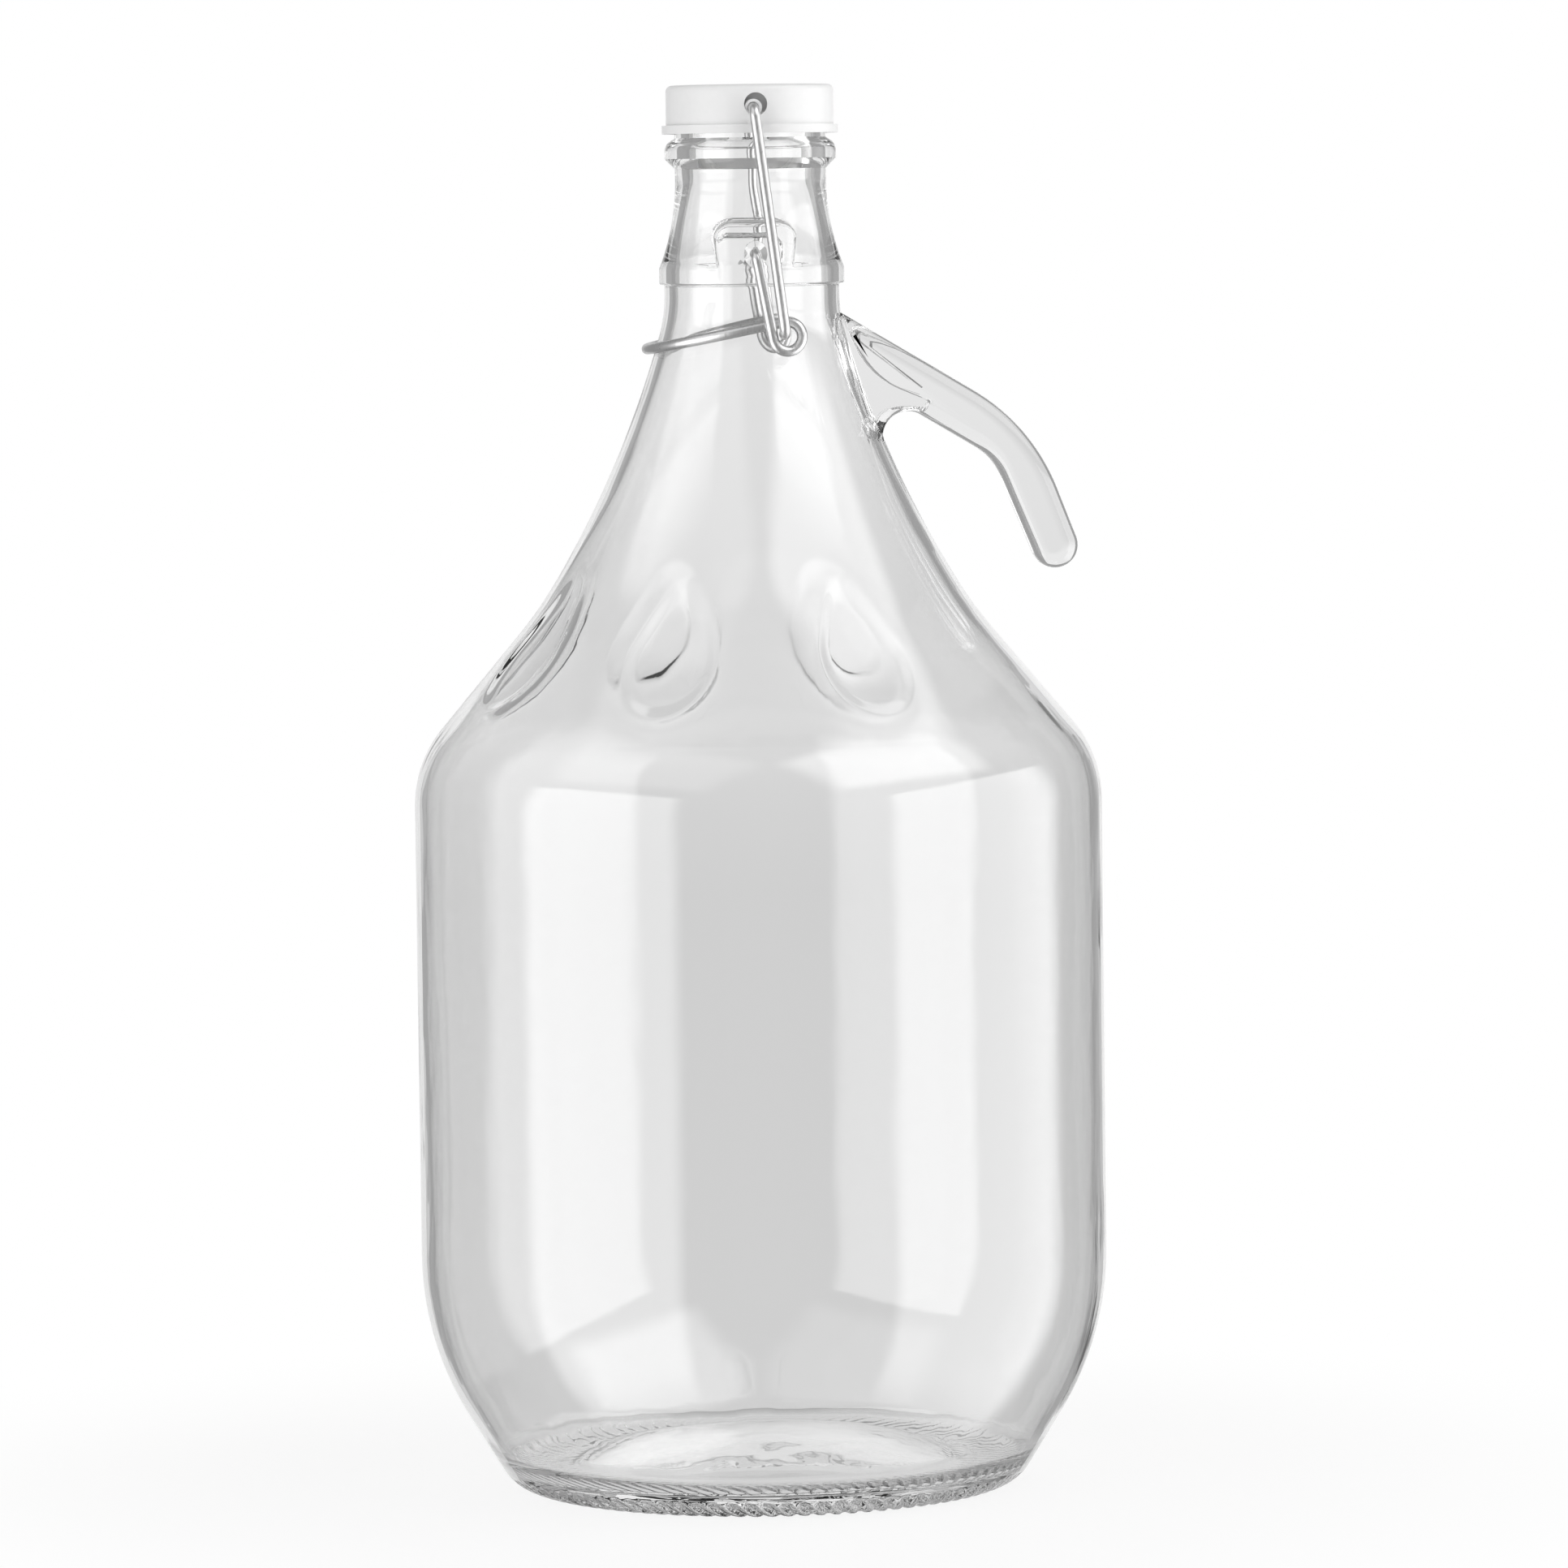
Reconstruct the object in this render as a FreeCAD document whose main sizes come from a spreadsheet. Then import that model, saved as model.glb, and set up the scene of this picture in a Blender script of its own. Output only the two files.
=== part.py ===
"""Swing-top glass bottle of five litres, with a hooked glass handle.

Frame: +Z up, the axis of the bottle on Z, the standing ring on Z = 0, the handle towards +X
and the finger loop of the closure towards -X. All sizes are in millimetres and degrees.
"""
import math
import os

import FreeCAD
import Part
import Sketcher

Vector = FreeCAD.Vector

# name, value, meaning
SIZES = [
    ("lip_height", 356.9, "top of the glass above the standing ring"),
    ("body_diameter", 180.0, "outside of the cylindrical body"),
    ("glass_wall", 2.9, "wall of body, shoulder and neck"),
    # foot
    ("punt_height", 9.0, "rise of the pushed-up base"),
    ("ring_width", 4.0, "flat of the standing ring"),
    ("floor_thickness", 5.5, "glass over the middle of the pushed-up base"),
    ("floor_height", 7.5, "inside floor beside the heel"),
    ("floor_land", 11.7, "flat of the inside floor round its dome"),
    ("heel_round", 11.0, "outer rounding between ring and taper"),
    ("heel_inner_round", 10.0, "inner rounding between floor and taper"),
    ("foot_taper", 31.5, "lean of the straight taper over the heel"),
    ("bowl_round", 80.0, "rounding from the taper into the body"),
    ("bowl_top", 61.5, "height where the straight body starts"),
    # shoulder
    ("shoulder_round", 31.0, "rounding from the body into the cone"),
    ("cone_lean", 40.0, "lean of the cone from the axis"),
    ("flare_round", 100.0, "first hollow rounding over the cone"),
    ("flare_turn", 8.6, "turn of the first hollow rounding"),
    ("sweep_round", 269.0, "long hollow rounding up to the neck"),
    ("sweep_turn", 15.3, "turn of the long hollow rounding"),
    ("collar_round", 35.6, "last hollow rounding into the neck"),
    # neck and finish
    ("neck_diameter", 45.7, "straight neck under the band"),
    ("collar_length", 3.0, "straight neck under the band"),
    ("band_proud", 1.3, "band that carries the lugs, out from the neck's side"),
    ("band_height", 4.2, "straight side of the band"),
    ("band_below_lip", 37.3, "top of the band's side below the lip"),
    ("waist_step", 3.15, "narrowest neck, in from the neck's side"),
    ("waist_land", 2.7, "straight side of the waist, over its hollow rounding"),
    ("bead_step", 0.5, "bead under the mouth, in from the neck's side"),
    ("bead_below_lip", 6.9, "top of the bead's side below the lip"),
    ("bead_land", 2.0, "straight side of the bead"),
    ("bead_round", 3.2, "rounding of the bead's upper side"),
    ("bead_turn", 60.0, "turn of that rounding"),
    ("lip_step", 3.15, "outside of the lip, in from the neck's side"),
    ("lip_round", 1.2, "outer rounding of the lip"),
    ("lip_wall", 3.8, "wall of the lip round the mouth"),
    ("mouth_round", 1.5, "inner rounding of the mouth"),
    # dimples
    ("dimple_count", 6, "dimples round the shoulder"),
    ("dimple_pitch", 45.0, "turn from one dimple to the next"),
    ("dimple_ball", 95.0, "radius of the ball that hollows a dimple"),
    ("dimple_out", 115.4, "ball centre outside the neck's side"),
    ("dimple_below_lip", 79.3, "ball centre below the lip"),
    # lugs
    ("lug_proud", 0.15, "outer face of the two lugs, out from the band's side"),
    ("lug_width", 20.0, "width of a lug"),
    ("lug_round", 4.5, "rounding of a lug's upper corners"),
    ("lug_over_pivot", 8.2, "top of a lug above the lever's pivot"),
    ("pivot_rise", 7.8, "lever's pivot above the band's lower edge"),
    ("pivot_depth", 3.2, "depth of a pivot hole from the lug face"),
    ("pivot_mouth", 6.6, "countersink of a pivot hole"),
    ("pivot_mouth_depth", 1.2, "depth of the countersink"),
    # handle
    ("handle_width", 13.0, "handle across the plane of its hook"),
    ("handle_edge", 3.6, "rounding of the handle's long edges"),
    ("handle_root_below_lip", 47.4, "start of the upper edge below the lip"),
    ("handle_slope", 31.0, "fall of the upper part"),
    ("handle_bend", 27.0, "outer radius of the bend"),
    ("handle_drop", 69.0, "fall of the hanging part"),
    ("handle_reach", 84.0, "outer edge of the hanging part from the axis"),
    ("handle_tip_below_lip", 107.4, "start of the tip's rounding below the lip"),
    ("handle_tip", 6.0, "radius of the tip"),
    ("handle_inner_bend", 15.0, "inner radius of the bend"),
    ("handle_inner_drop", 67.5, "fall of the inner edge of the hanging part"),
    ("crotch_round", 6.5, "rounding where handle and cone part"),
    ("crotch_out", 10.8, "inner side of that rounding outside the neck's side"),
    ("crotch_below_lip", 81.8, "middle of that rounding below the lip"),
    ("crotch_run", 3.0, "straight run under that rounding"),
    ("root_inset", 3.0, "handle's outline inside the neck's side"),
    # hollow in each side of the handle's root, from its top round to its foot
    ("pocket_depth", 3.4, "depth of the hollow"),
    ("pocket_below_lip", 50.5, "top of the hollow below the lip"),
    ("pocket_top", 3.5, "level top"),
    ("pocket_lean", 65.0, "fall of the outer side"),
    ("pocket_side", 9.0, "straight part of the outer side"),
    ("pocket_bow", 22.0, "rounding out of the outer side"),
    ("pocket_bow_turn", 42.0, "turn of that rounding"),
    ("pocket_leg", 7.0, "straight sides of the outer tip"),
    ("pocket_tip", 0.9, "radius of the outer tip"),
    ("pocket_tip_turn", 157.0, "turn of the outer tip"),
    ("pocket_heel", 6.0, "rounding back down along the neck"),
    ("pocket_heel_turn", 75.0, "turn of that rounding"),
    ("pocket_foot", 4.0, "straight run down to the foot"),
    ("overrun", 1.0, "reach of cutting shapes past what they cut"),
    # closure wires
    ("wire_diameter", 2.8, "lever and bail wire"),
    ("pivot_clearance", 0.08, "radial play of a wire in its hole"),
    ("wire_gap", 0.3, "play between wires that pass each other"),
    ("bail_bend", 1.2, "inner radius of the bail's bends"),
    ("pivot_bend", 0.5, "inner radius of the lever's bends at the pivots"),
    ("eye_play", 1.0, "play round a bail hook in the lever's eye"),
    ("eye_out", 7.8, "middle of the eyes from the axis, towards the handle"),
    ("eye_drop", 21.3, "middle of the eyes below the pivot"),
    ("hook_back", 0.7, "bail hooks off the middle of the eyes, from the handle"),
    ("hook_rise", 0.55, "bail hooks over the middle of the eyes"),
    ("leg_play", 0.5, "play between lug face and lever leg"),
    ("pivot_play", 0.4, "play between a pivot end and the bottom of its hole"),
    ("loop_play", 0.25, "play between band and finger loop"),
    ("loop_out", 4.75, "far end of the finger loop out from the neck's side"),
    ("loop_slope", 11.3, "fall of the finger loop"),
    ("eye_spread", 1.1, "play between the loop's side and the wire that enters the eye"),
    ("hook_play", 2.7, "ends of the bail hooks out from the neck's side"),
    ("bail_play", 0.5, "play between cap flange and bail"),
    # cap
    ("cap_play", 1.1, "play between lip and cap"),
    ("cap_flange_proud", 1.1, "flange round the cap's lower edge, out from its side"),
    ("cap_flange_height", 2.2, "height of the flange"),
    ("cap_wall", 1.1, "side wall of the cap"),
    ("cap_overlap", 2.4, "lower edge of the cap below the lip"),
    ("cap_height", 12.6, "height of the cap"),
    ("cap_top", 1.5, "top plate of the cap"),
    ("cap_ceiling", 1.3, "plate over the gasket"),
    ("cap_round", 1.6, "upper edge of the cap"),
    ("tube_wall", 0.82, "wall of the tube inside the cap round the bail's pin"),
    ("tube_play", 1.3, "space between that tube's ends and the cap's wall"),
    ("window_diameter", 6.0, "round window in each side of the cap"),
    ("window_shift", 0.6, "window beside the pin, towards the handle"),
    ("window_rise", 0.9, "window above the pin"),
    ("gasket_thickness", 1.8, "sealing ring between lip and cap"),
    ("gasket_proud", 0.7, "sealing ring out from the lip's side"),
    ("gasket_inside", 2.9, "sealing ring in from the mouth's side"),
]

doc = FreeCAD.newDocument("SwingTopBottle")
sheet = doc.addObject("Spreadsheet::Sheet", "Sizes")


def fill_sheet():
    """Write every size to its own named cell."""
    for row, (name, value, meaning) in enumerate(SIZES, start=1):
        sheet.set(f"A{row}", name)
        sheet.set(f"B{row}", str(value))
        sheet.setAlias(f"B{row}", name)
        sheet.set(f"C{row}", meaning)
    doc.recompute()


def value(expression):
    """Evaluate an expression of sheet cells, such as 'Sizes.cap_height / 2'."""
    return float(sheet.evalExpression(expression))


def origin_plane(body, role):
    """Return the origin plane or axis of a body by its role."""
    return next(item for item in body.Origin.OriginFeatures if item.Role == role)


def new_body(name):
    body = doc.addObject("PartDesign::Body", name)
    body.Label = name
    return body


def new_sketch(body, name, role="XZ_Plane"):
    sketch = body.newObject("Sketcher::SketchObject", name)
    sketch.AttachmentSupport = [(origin_plane(body, role), "")]
    sketch.MapMode = "FlatFace"
    doc.recompute()
    return sketch


class Pen:
    """Draws a chain of lines and arcs in a sketch and ties them to the sheet.

    x is the distance from the axis or along the handle, y is the height. A positive turn is
    to the left. Each tie is a pair of what is held and the expression that it follows.
    """

    ORIGIN = -1
    AXIS = -2

    def __init__(self, sketch, x, y, heading):
        self.sketch = sketch
        self.x = x
        self.y = y
        self.heading = heading
        self.first = None
        self.last = None

    def tie(self, ties, geometry, start, end):
        """Hold one piece of the chain: its ends, radius, heading or span."""
        for held, expression in ties:
            datum = value(expression) if expression else None
            if held in ("horizontal", "vertical"):
                self.sketch.addConstraint(Sketcher.Constraint(held.capitalize(), geometry))
                continue
            if held == "start_on_axis":
                constraint = Sketcher.Constraint("PointOnObject", geometry, start, self.AXIS)
                self.sketch.addConstraint(constraint)
                continue
            if held == "end_on_axis":
                constraint = Sketcher.Constraint("PointOnObject", geometry, end, self.AXIS)
                self.sketch.addConstraint(constraint)
                continue
            if held == "centre_on_axis":
                constraint = Sketcher.Constraint("PointOnObject", geometry, 3, self.AXIS)
                self.sketch.addConstraint(constraint)
                continue
            if held in ("start_x", "end_x"):
                point = start if held == "start_x" else end
                constraint = Sketcher.Constraint("DistanceX", self.ORIGIN, 1, geometry, point, datum)
            elif held in ("start_y", "end_y"):
                point = start if held == "start_y" else end
                constraint = Sketcher.Constraint("DistanceY", self.ORIGIN, 1, geometry, point, datum)
            elif held == "radius":
                constraint = Sketcher.Constraint("Radius", geometry, datum)
            elif held == "length":
                constraint = Sketcher.Constraint("Distance", geometry, datum)
            else:
                constraint = Sketcher.Constraint("Angle", geometry, math.radians(datum))
            index = self.sketch.addConstraint(constraint)
            self.sketch.setExpression(f"Constraints[{index}]", expression)

    def join(self, geometry, start, end, smooth):
        """Join a new piece to the end of the chain."""
        if self.last is None:
            self.first = (geometry, start)
        else:
            kind = "Tangent" if smooth else "Coincident"
            self.sketch.addConstraint(Sketcher.Constraint(kind, *self.last, geometry, start))
        self.last = (geometry, end)

    def line(self, length, turn=0.0, smooth=False, ties=()):
        self.heading += turn
        angle = math.radians(self.heading)
        start = Vector(self.x, self.y, 0)
        self.x += length * math.cos(angle)
        self.y += length * math.sin(angle)
        geometry = self.sketch.addGeometry(Part.LineSegment(start, Vector(self.x, self.y, 0)))
        self.join(geometry, 1, 2, smooth)
        self.tie(ties, geometry, 1, 2)

    def arc(self, radius, turn, corner=0.0, smooth=True, ties=()):
        self.heading += corner
        side = 90.0 if turn > 0 else -90.0
        to_centre = math.radians(self.heading + side)
        centre_x = self.x + radius * math.cos(to_centre)
        centre_y = self.y + radius * math.sin(to_centre)
        entry = self.heading - side
        leave = entry + turn
        self.heading += turn
        self.x = centre_x + radius * math.cos(math.radians(leave))
        self.y = centre_y + radius * math.sin(math.radians(leave))
        circle = Part.Circle(Vector(centre_x, centre_y, 0), Vector(0, 0, 1), radius)
        low, high = sorted((math.radians(entry), math.radians(leave)))
        geometry = self.sketch.addGeometry(Part.ArcOfCircle(circle, low, high))
        start, end = (1, 2) if turn > 0 else (2, 1)
        self.join(geometry, start, end, smooth)
        self.tie(ties, geometry, start, end)

    def close(self, ties=()):
        """Run a straight line back to the start of the chain."""
        first = self.sketch.getPoint(*self.first)
        start = Vector(self.x, self.y, 0)
        geometry = self.sketch.addGeometry(Part.LineSegment(start, first))
        self.join(geometry, 1, 2, False)
        self.sketch.addConstraint(Sketcher.Constraint("Coincident", geometry, 2, *self.first))
        self.tie(ties, geometry, 1, 2)


# heights and radii that several outlines share
NECK_SIDE = "(Sizes.neck_diameter / 2)"
BAND_SIDE = "(Sizes.neck_diameter / 2 + Sizes.band_proud)"
WAIST_SIDE = "(Sizes.neck_diameter / 2 - Sizes.waist_step)"
BEAD_SIDE = "(Sizes.neck_diameter / 2 - Sizes.bead_step)"
LIP_SIDE = "(Sizes.neck_diameter / 2 - Sizes.lip_step)"
MOUTH_SIDE = f"({LIP_SIDE} - Sizes.lip_wall)"
LUG_FACE = f"({BAND_SIDE} + Sizes.lug_proud)"
CAP_BORE = f"({LIP_SIDE} + Sizes.cap_play)"
CAP_SIDE = f"({CAP_BORE} + Sizes.cap_wall)"
FLANGE_SIDE = f"({CAP_SIDE} + Sizes.cap_flange_proud)"
TUBE_END = f"({CAP_BORE} - Sizes.tube_play)"
BAND_TOP = "Sizes.lip_height - Sizes.band_below_lip"
BAND_BOTTOM = BAND_TOP + " - Sizes.band_height"
NECK_START = BAND_BOTTOM + " - Sizes.collar_length"
PIVOT_HEIGHT = BAND_BOTTOM + " + Sizes.pivot_rise"
LUG_TOP = PIVOT_HEIGHT + " + Sizes.lug_over_pivot"
WIRE_RADIUS = "Sizes.wire_diameter / 2"
HOLE_RADIUS = "Sizes.wire_diameter / 2 + Sizes.pivot_clearance"
TUBE_RADIUS = HOLE_RADIUS + " + Sizes.tube_wall"
PIN_HEIGHT = "Sizes.lip_height + Sizes.gasket_thickness + " + TUBE_RADIUS
BEAD_TOP = "Sizes.lip_height - Sizes.bead_below_lip"
HANDLE_ROOT = f"{NECK_SIDE} - Sizes.root_inset"
# the two sides of the closure, across the plane of the handle
SIDES = (("front", -1), ("back", 1))
# corners that a bent wire's helical eye and round loop are drawn through, on each side
EYE_CORNERS = 6
LOOP_CORNERS = 4


def bowl_start(wall):
    """Where the taper over the heel meets the bowl, for a side set in by a wall."""
    taper = math.radians(value("Sizes.foot_taper"))
    bowl = value("Sizes.bowl_round") - wall
    side = value("Sizes.body_diameter / 2") - wall
    return side - bowl * (1 - math.cos(taper)), value("Sizes.bowl_top") - bowl * math.sin(taper)


def heel_start(wall, radius, floor):
    """Distance from the axis where a flat floor runs into the heel's rounding."""
    taper = math.radians(value("Sizes.foot_taper"))
    bowl_x, bowl_y = bowl_start(wall)
    rise = bowl_y - floor - radius * (1 - math.sin(taper))
    return bowl_x - rise * math.tan(taper) - radius * math.cos(taper)


def body_side(pen, inset):
    """Taper, bowl, straight side, shoulder, cone and neck, set in by an expression."""
    wall = value(inset)
    lean = value("Sizes.cone_lean")
    taper = value("Sizes.foot_taper")
    flare_turn = value("Sizes.flare_turn")
    sweep_turn = value("Sizes.sweep_turn")
    last_turn = lean - flare_turn - sweep_turn
    bowl = value("Sizes.bowl_round") - wall
    shoulder = value("Sizes.shoulder_round") - wall
    flare = value("Sizes.flare_round") + wall
    sweep = value("Sizes.sweep_round") + wall
    collar = value("Sizes.collar_round") + wall
    side = value("Sizes.body_diameter / 2") - wall
    neck = value("Sizes.neck_diameter / 2") - wall

    def across(angle):
        return math.cos(math.radians(angle))

    def along(angle):
        return math.sin(math.radians(angle))

    bowl_x, bowl_y = bowl_start(wall)
    taper_length = math.hypot(bowl_x - pen.x, bowl_y - pen.y)
    curves_in = (flare * (across(lean - flare_turn) - across(lean))
                 + sweep * (across(last_turn) - across(last_turn + sweep_turn))
                 + collar * (1 - across(last_turn)))
    curves_up = (flare * (along(lean) - along(lean - flare_turn))
                 + sweep * (along(last_turn + sweep_turn) - along(last_turn))
                 + collar * along(last_turn))
    cone_in = side - neck - shoulder * (1 - across(lean)) - curves_in
    cone_length = cone_in / along(lean)
    shoulder_start = (value(NECK_START) - curves_up - cone_length * across(lean)
                      - shoulder * along(lean))

    pen.line(taper_length, smooth=True, ties=[("heading", "90 - Sizes.foot_taper")])
    pen.arc(bowl, taper, ties=[("radius", f"Sizes.bowl_round - ({inset})")])
    pen.line(shoulder_start - value("Sizes.bowl_top"), smooth=True, ties=[
        ("vertical", None),
        ("start_y", "Sizes.bowl_top"),
        ("end_x", f"Sizes.body_diameter / 2 - ({inset})"),
    ])
    pen.arc(shoulder, lean, ties=[("radius", f"Sizes.shoulder_round - ({inset})")])
    pen.line(cone_length, smooth=True, ties=[("heading", "90 + Sizes.cone_lean")])
    pen.arc(flare, -flare_turn, ties=[
        ("radius", f"Sizes.flare_round + ({inset})"),
        ("span", "Sizes.flare_turn"),
    ])
    pen.arc(sweep, -sweep_turn, ties=[
        ("radius", f"Sizes.sweep_round + ({inset})"),
        ("span", "Sizes.sweep_turn"),
    ])
    pen.arc(collar, -last_turn, ties=[("radius", f"Sizes.collar_round + ({inset})")])


def draw_outside(sketch):
    """Half outline of the solid glass: pushed-up base, body, neck, band, bead and lip."""
    punt = value("Sizes.punt_height")
    heel = value("Sizes.heel_round")
    width = value("Sizes.ring_width")
    ring = heel_start(0.0, heel, 0.0) - width
    dome = (ring ** 2 + punt ** 2) / (2 * punt)
    pen = Pen(sketch, 0.0, punt, 0.0)
    pen.arc(dome, -math.degrees(math.asin(ring / dome)), ties=[
        ("start_on_axis", None),
        ("centre_on_axis", None),
        ("start_y", "Sizes.punt_height"),
    ])
    taper = value("Sizes.foot_taper")
    pen.line(width, turn=-pen.heading, ties=[
        ("horizontal", None),
        ("length", "Sizes.ring_width"),
        ("end_y", "0"),
    ])
    pen.arc(heel, 90 - taper, ties=[("radius", "Sizes.heel_round")])
    body_side(pen, "0")
    pen.line(value("Sizes.collar_length"), smooth=True, ties=[
        ("vertical", None),
        ("start_y", NECK_START),
        ("start_x", "Sizes.neck_diameter / 2"),
        ("end_y", BAND_BOTTOM),
    ])
    pen.line(value("Sizes.band_proud"), turn=-90, ties=[
        ("horizontal", None),
        ("end_x", BAND_SIDE),
    ])
    pen.line(value("Sizes.band_height"), turn=90, ties=[
        ("vertical", None),
        ("end_y", BAND_TOP),
    ])
    bead_step = value(f"{BEAD_SIDE} - {WAIST_SIDE}")
    bead_low = BEAD_TOP + " - Sizes.bead_land"
    waist_step = value(f"{BAND_SIDE} - {WAIST_SIDE}")
    waist_land = value("Sizes.waist_land")
    waist_rise = value(bead_low) - bead_step - waist_land - pen.y
    waist_round = (waist_rise ** 2 + waist_step ** 2) / (2 * waist_step)
    waist_turn = math.degrees(math.asin(waist_rise / waist_round))
    pen.arc(waist_round, -waist_turn, corner=waist_turn, smooth=False)
    pen.line(waist_land, smooth=True, ties=[
        ("vertical", None),
        ("length", "Sizes.waist_land"),
        ("end_x", WAIST_SIDE),
    ])
    pen.line(bead_step * math.sqrt(2), turn=-45, ties=[
        ("heading", "45"),
        ("end_x", BEAD_SIDE),
        ("end_y", bead_low),
    ])
    pen.line(value("Sizes.bead_land"), turn=45, ties=[
        ("vertical", None),
        ("end_y", BEAD_TOP),
    ])
    bead_turn = value("Sizes.bead_turn")
    pen.arc(value("Sizes.bead_round"), bead_turn, ties=[
        ("radius", "Sizes.bead_round"),
        ("span", "Sizes.bead_turn"),
    ])
    lip_step = pen.x - value(LIP_SIDE)
    pen.line(lip_step / math.sin(math.radians(bead_turn)), smooth=True,
             ties=[("end_x", LIP_SIDE)])
    lip_round = value("Sizes.lip_round")
    pen.line(value("Sizes.lip_height") - lip_round - pen.y, turn=-bead_turn,
             ties=[("vertical", None)])
    pen.arc(lip_round, 90, ties=[("radius", "Sizes.lip_round")])
    pen.line(pen.x, smooth=True, ties=[
        ("horizontal", None),
        ("end_on_axis", None),
        ("end_y", "Sizes.lip_height"),
    ])
    pen.close()


def draw_cavity(sketch):
    """Half outline of the space inside the glass, past the mouth."""
    wall = value("Sizes.glass_wall")
    rise = value("Sizes.punt_height + Sizes.floor_thickness - Sizes.floor_height")
    heel = value("Sizes.heel_inner_round")
    land = value("Sizes.floor_land")
    foot = heel_start(wall, heel, value("Sizes.floor_height")) - land
    dome = (foot ** 2 + rise ** 2) / (2 * rise)
    pen = Pen(sketch, 0.0, value("Sizes.floor_height") + rise, 0.0)
    pen.arc(dome, -math.degrees(math.asin(foot / dome)), ties=[
        ("start_on_axis", None),
        ("centre_on_axis", None),
        ("start_y", "Sizes.punt_height + Sizes.floor_thickness"),
    ])
    taper = value("Sizes.foot_taper")
    pen.line(land, turn=-pen.heading, ties=[
        ("horizontal", None),
        ("length", "Sizes.floor_land"),
        ("end_y", "Sizes.floor_height"),
    ])
    pen.arc(heel, 90 - taper, ties=[("radius", "Sizes.heel_inner_round")])
    body_side(pen, "Sizes.glass_wall")
    pen.line(value("Sizes.collar_length + Sizes.band_height"), smooth=True, ties=[
        ("vertical", None),
        ("start_y", NECK_START),
        ("start_x", "Sizes.neck_diameter / 2 - Sizes.glass_wall"),
        ("end_y", BAND_TOP),
    ])
    narrowing = value(f"{NECK_SIDE} - {MOUTH_SIDE}") - wall
    bore_start = "Sizes.lip_height - 2 * Sizes.bead_below_lip"
    waist = value(bore_start)
    lean = math.degrees(math.atan2(narrowing, waist - pen.y))
    pen.line(math.hypot(narrowing, waist - pen.y), turn=lean, ties=[
        ("end_x", MOUTH_SIDE),
        ("end_y", bore_start),
    ])
    mouth_round = value("Sizes.mouth_round")
    pen.line(value("Sizes.lip_height") - mouth_round - pen.y, turn=-lean,
             ties=[("vertical", None)])
    pen.arc(mouth_round, -90, ties=[("radius", "Sizes.mouth_round"), ("span", "90")])
    pen.line(2 * mouth_round, turn=90, ties=[
        ("vertical", None),
        ("start_y", "Sizes.lip_height"),
        ("length", "2 * Sizes.mouth_round"),
    ])
    pen.line(pen.x, turn=90, ties=[("horizontal", None), ("end_on_axis", None)])
    pen.close()


def revolve(body, name, draw):
    """Turn a half outline round the bottle's axis."""
    sketch = new_sketch(body, name + "_outline")
    draw(sketch)
    turned = body.newObject("PartDesign::Revolution", name)
    turned.Profile = sketch
    turned.ReferenceAxis = (sketch, ["V_Axis"])
    turned.Angle = 360
    doc.recompute()
    return turned


def place(feature, x, y, z, rotation=None):
    """Set a feature's position from expressions, and its rotation."""
    if rotation is not None:
        feature.Placement = FreeCAD.Placement(Vector(0, 0, 0), rotation)
    for axis, expression in zip("xyz", (x, y, z)):
        feature.setExpression(f"Placement.Base.{axis}", expression)


def inward(side):
    """Rotation that points a feature's own Z axis from one side (-1 or 1) to the middle."""
    return FreeCAD.Rotation(Vector(1, 0, 0), 90 * side)


def dimples(body, grow):
    """Hollow the dimples with one ball, patterned round the side away from the handle."""
    ball = body.newObject("PartDesign::SubtractiveSphere", body.Name + "_dimple")
    ball.setExpression("Radius", f"Sizes.dimple_ball + {grow}")
    reach = "(Sizes.neck_diameter / 2 + Sizes.dimple_out)"
    first = "(180 - (Sizes.dimple_count - 1) * Sizes.dimple_pitch / 2) * 1 deg"
    place(ball, f"{reach} * cos({first})", f"{reach} * sin({first})",
          "Sizes.lip_height - Sizes.dimple_below_lip")
    doc.recompute()
    pattern = body.newObject("PartDesign::PolarPattern", body.Name + "_dimples")
    pattern.Originals = [ball]
    pattern.Axis = (origin_plane(body, "Z_Axis"), [""])
    pattern.setExpression("Angle", "Sizes.dimple_pitch * (Sizes.dimple_count - 1)")
    pattern.setExpression("Occurrences", "Sizes.dimple_count")
    body.Tip = pattern
    doc.recompute()


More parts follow.
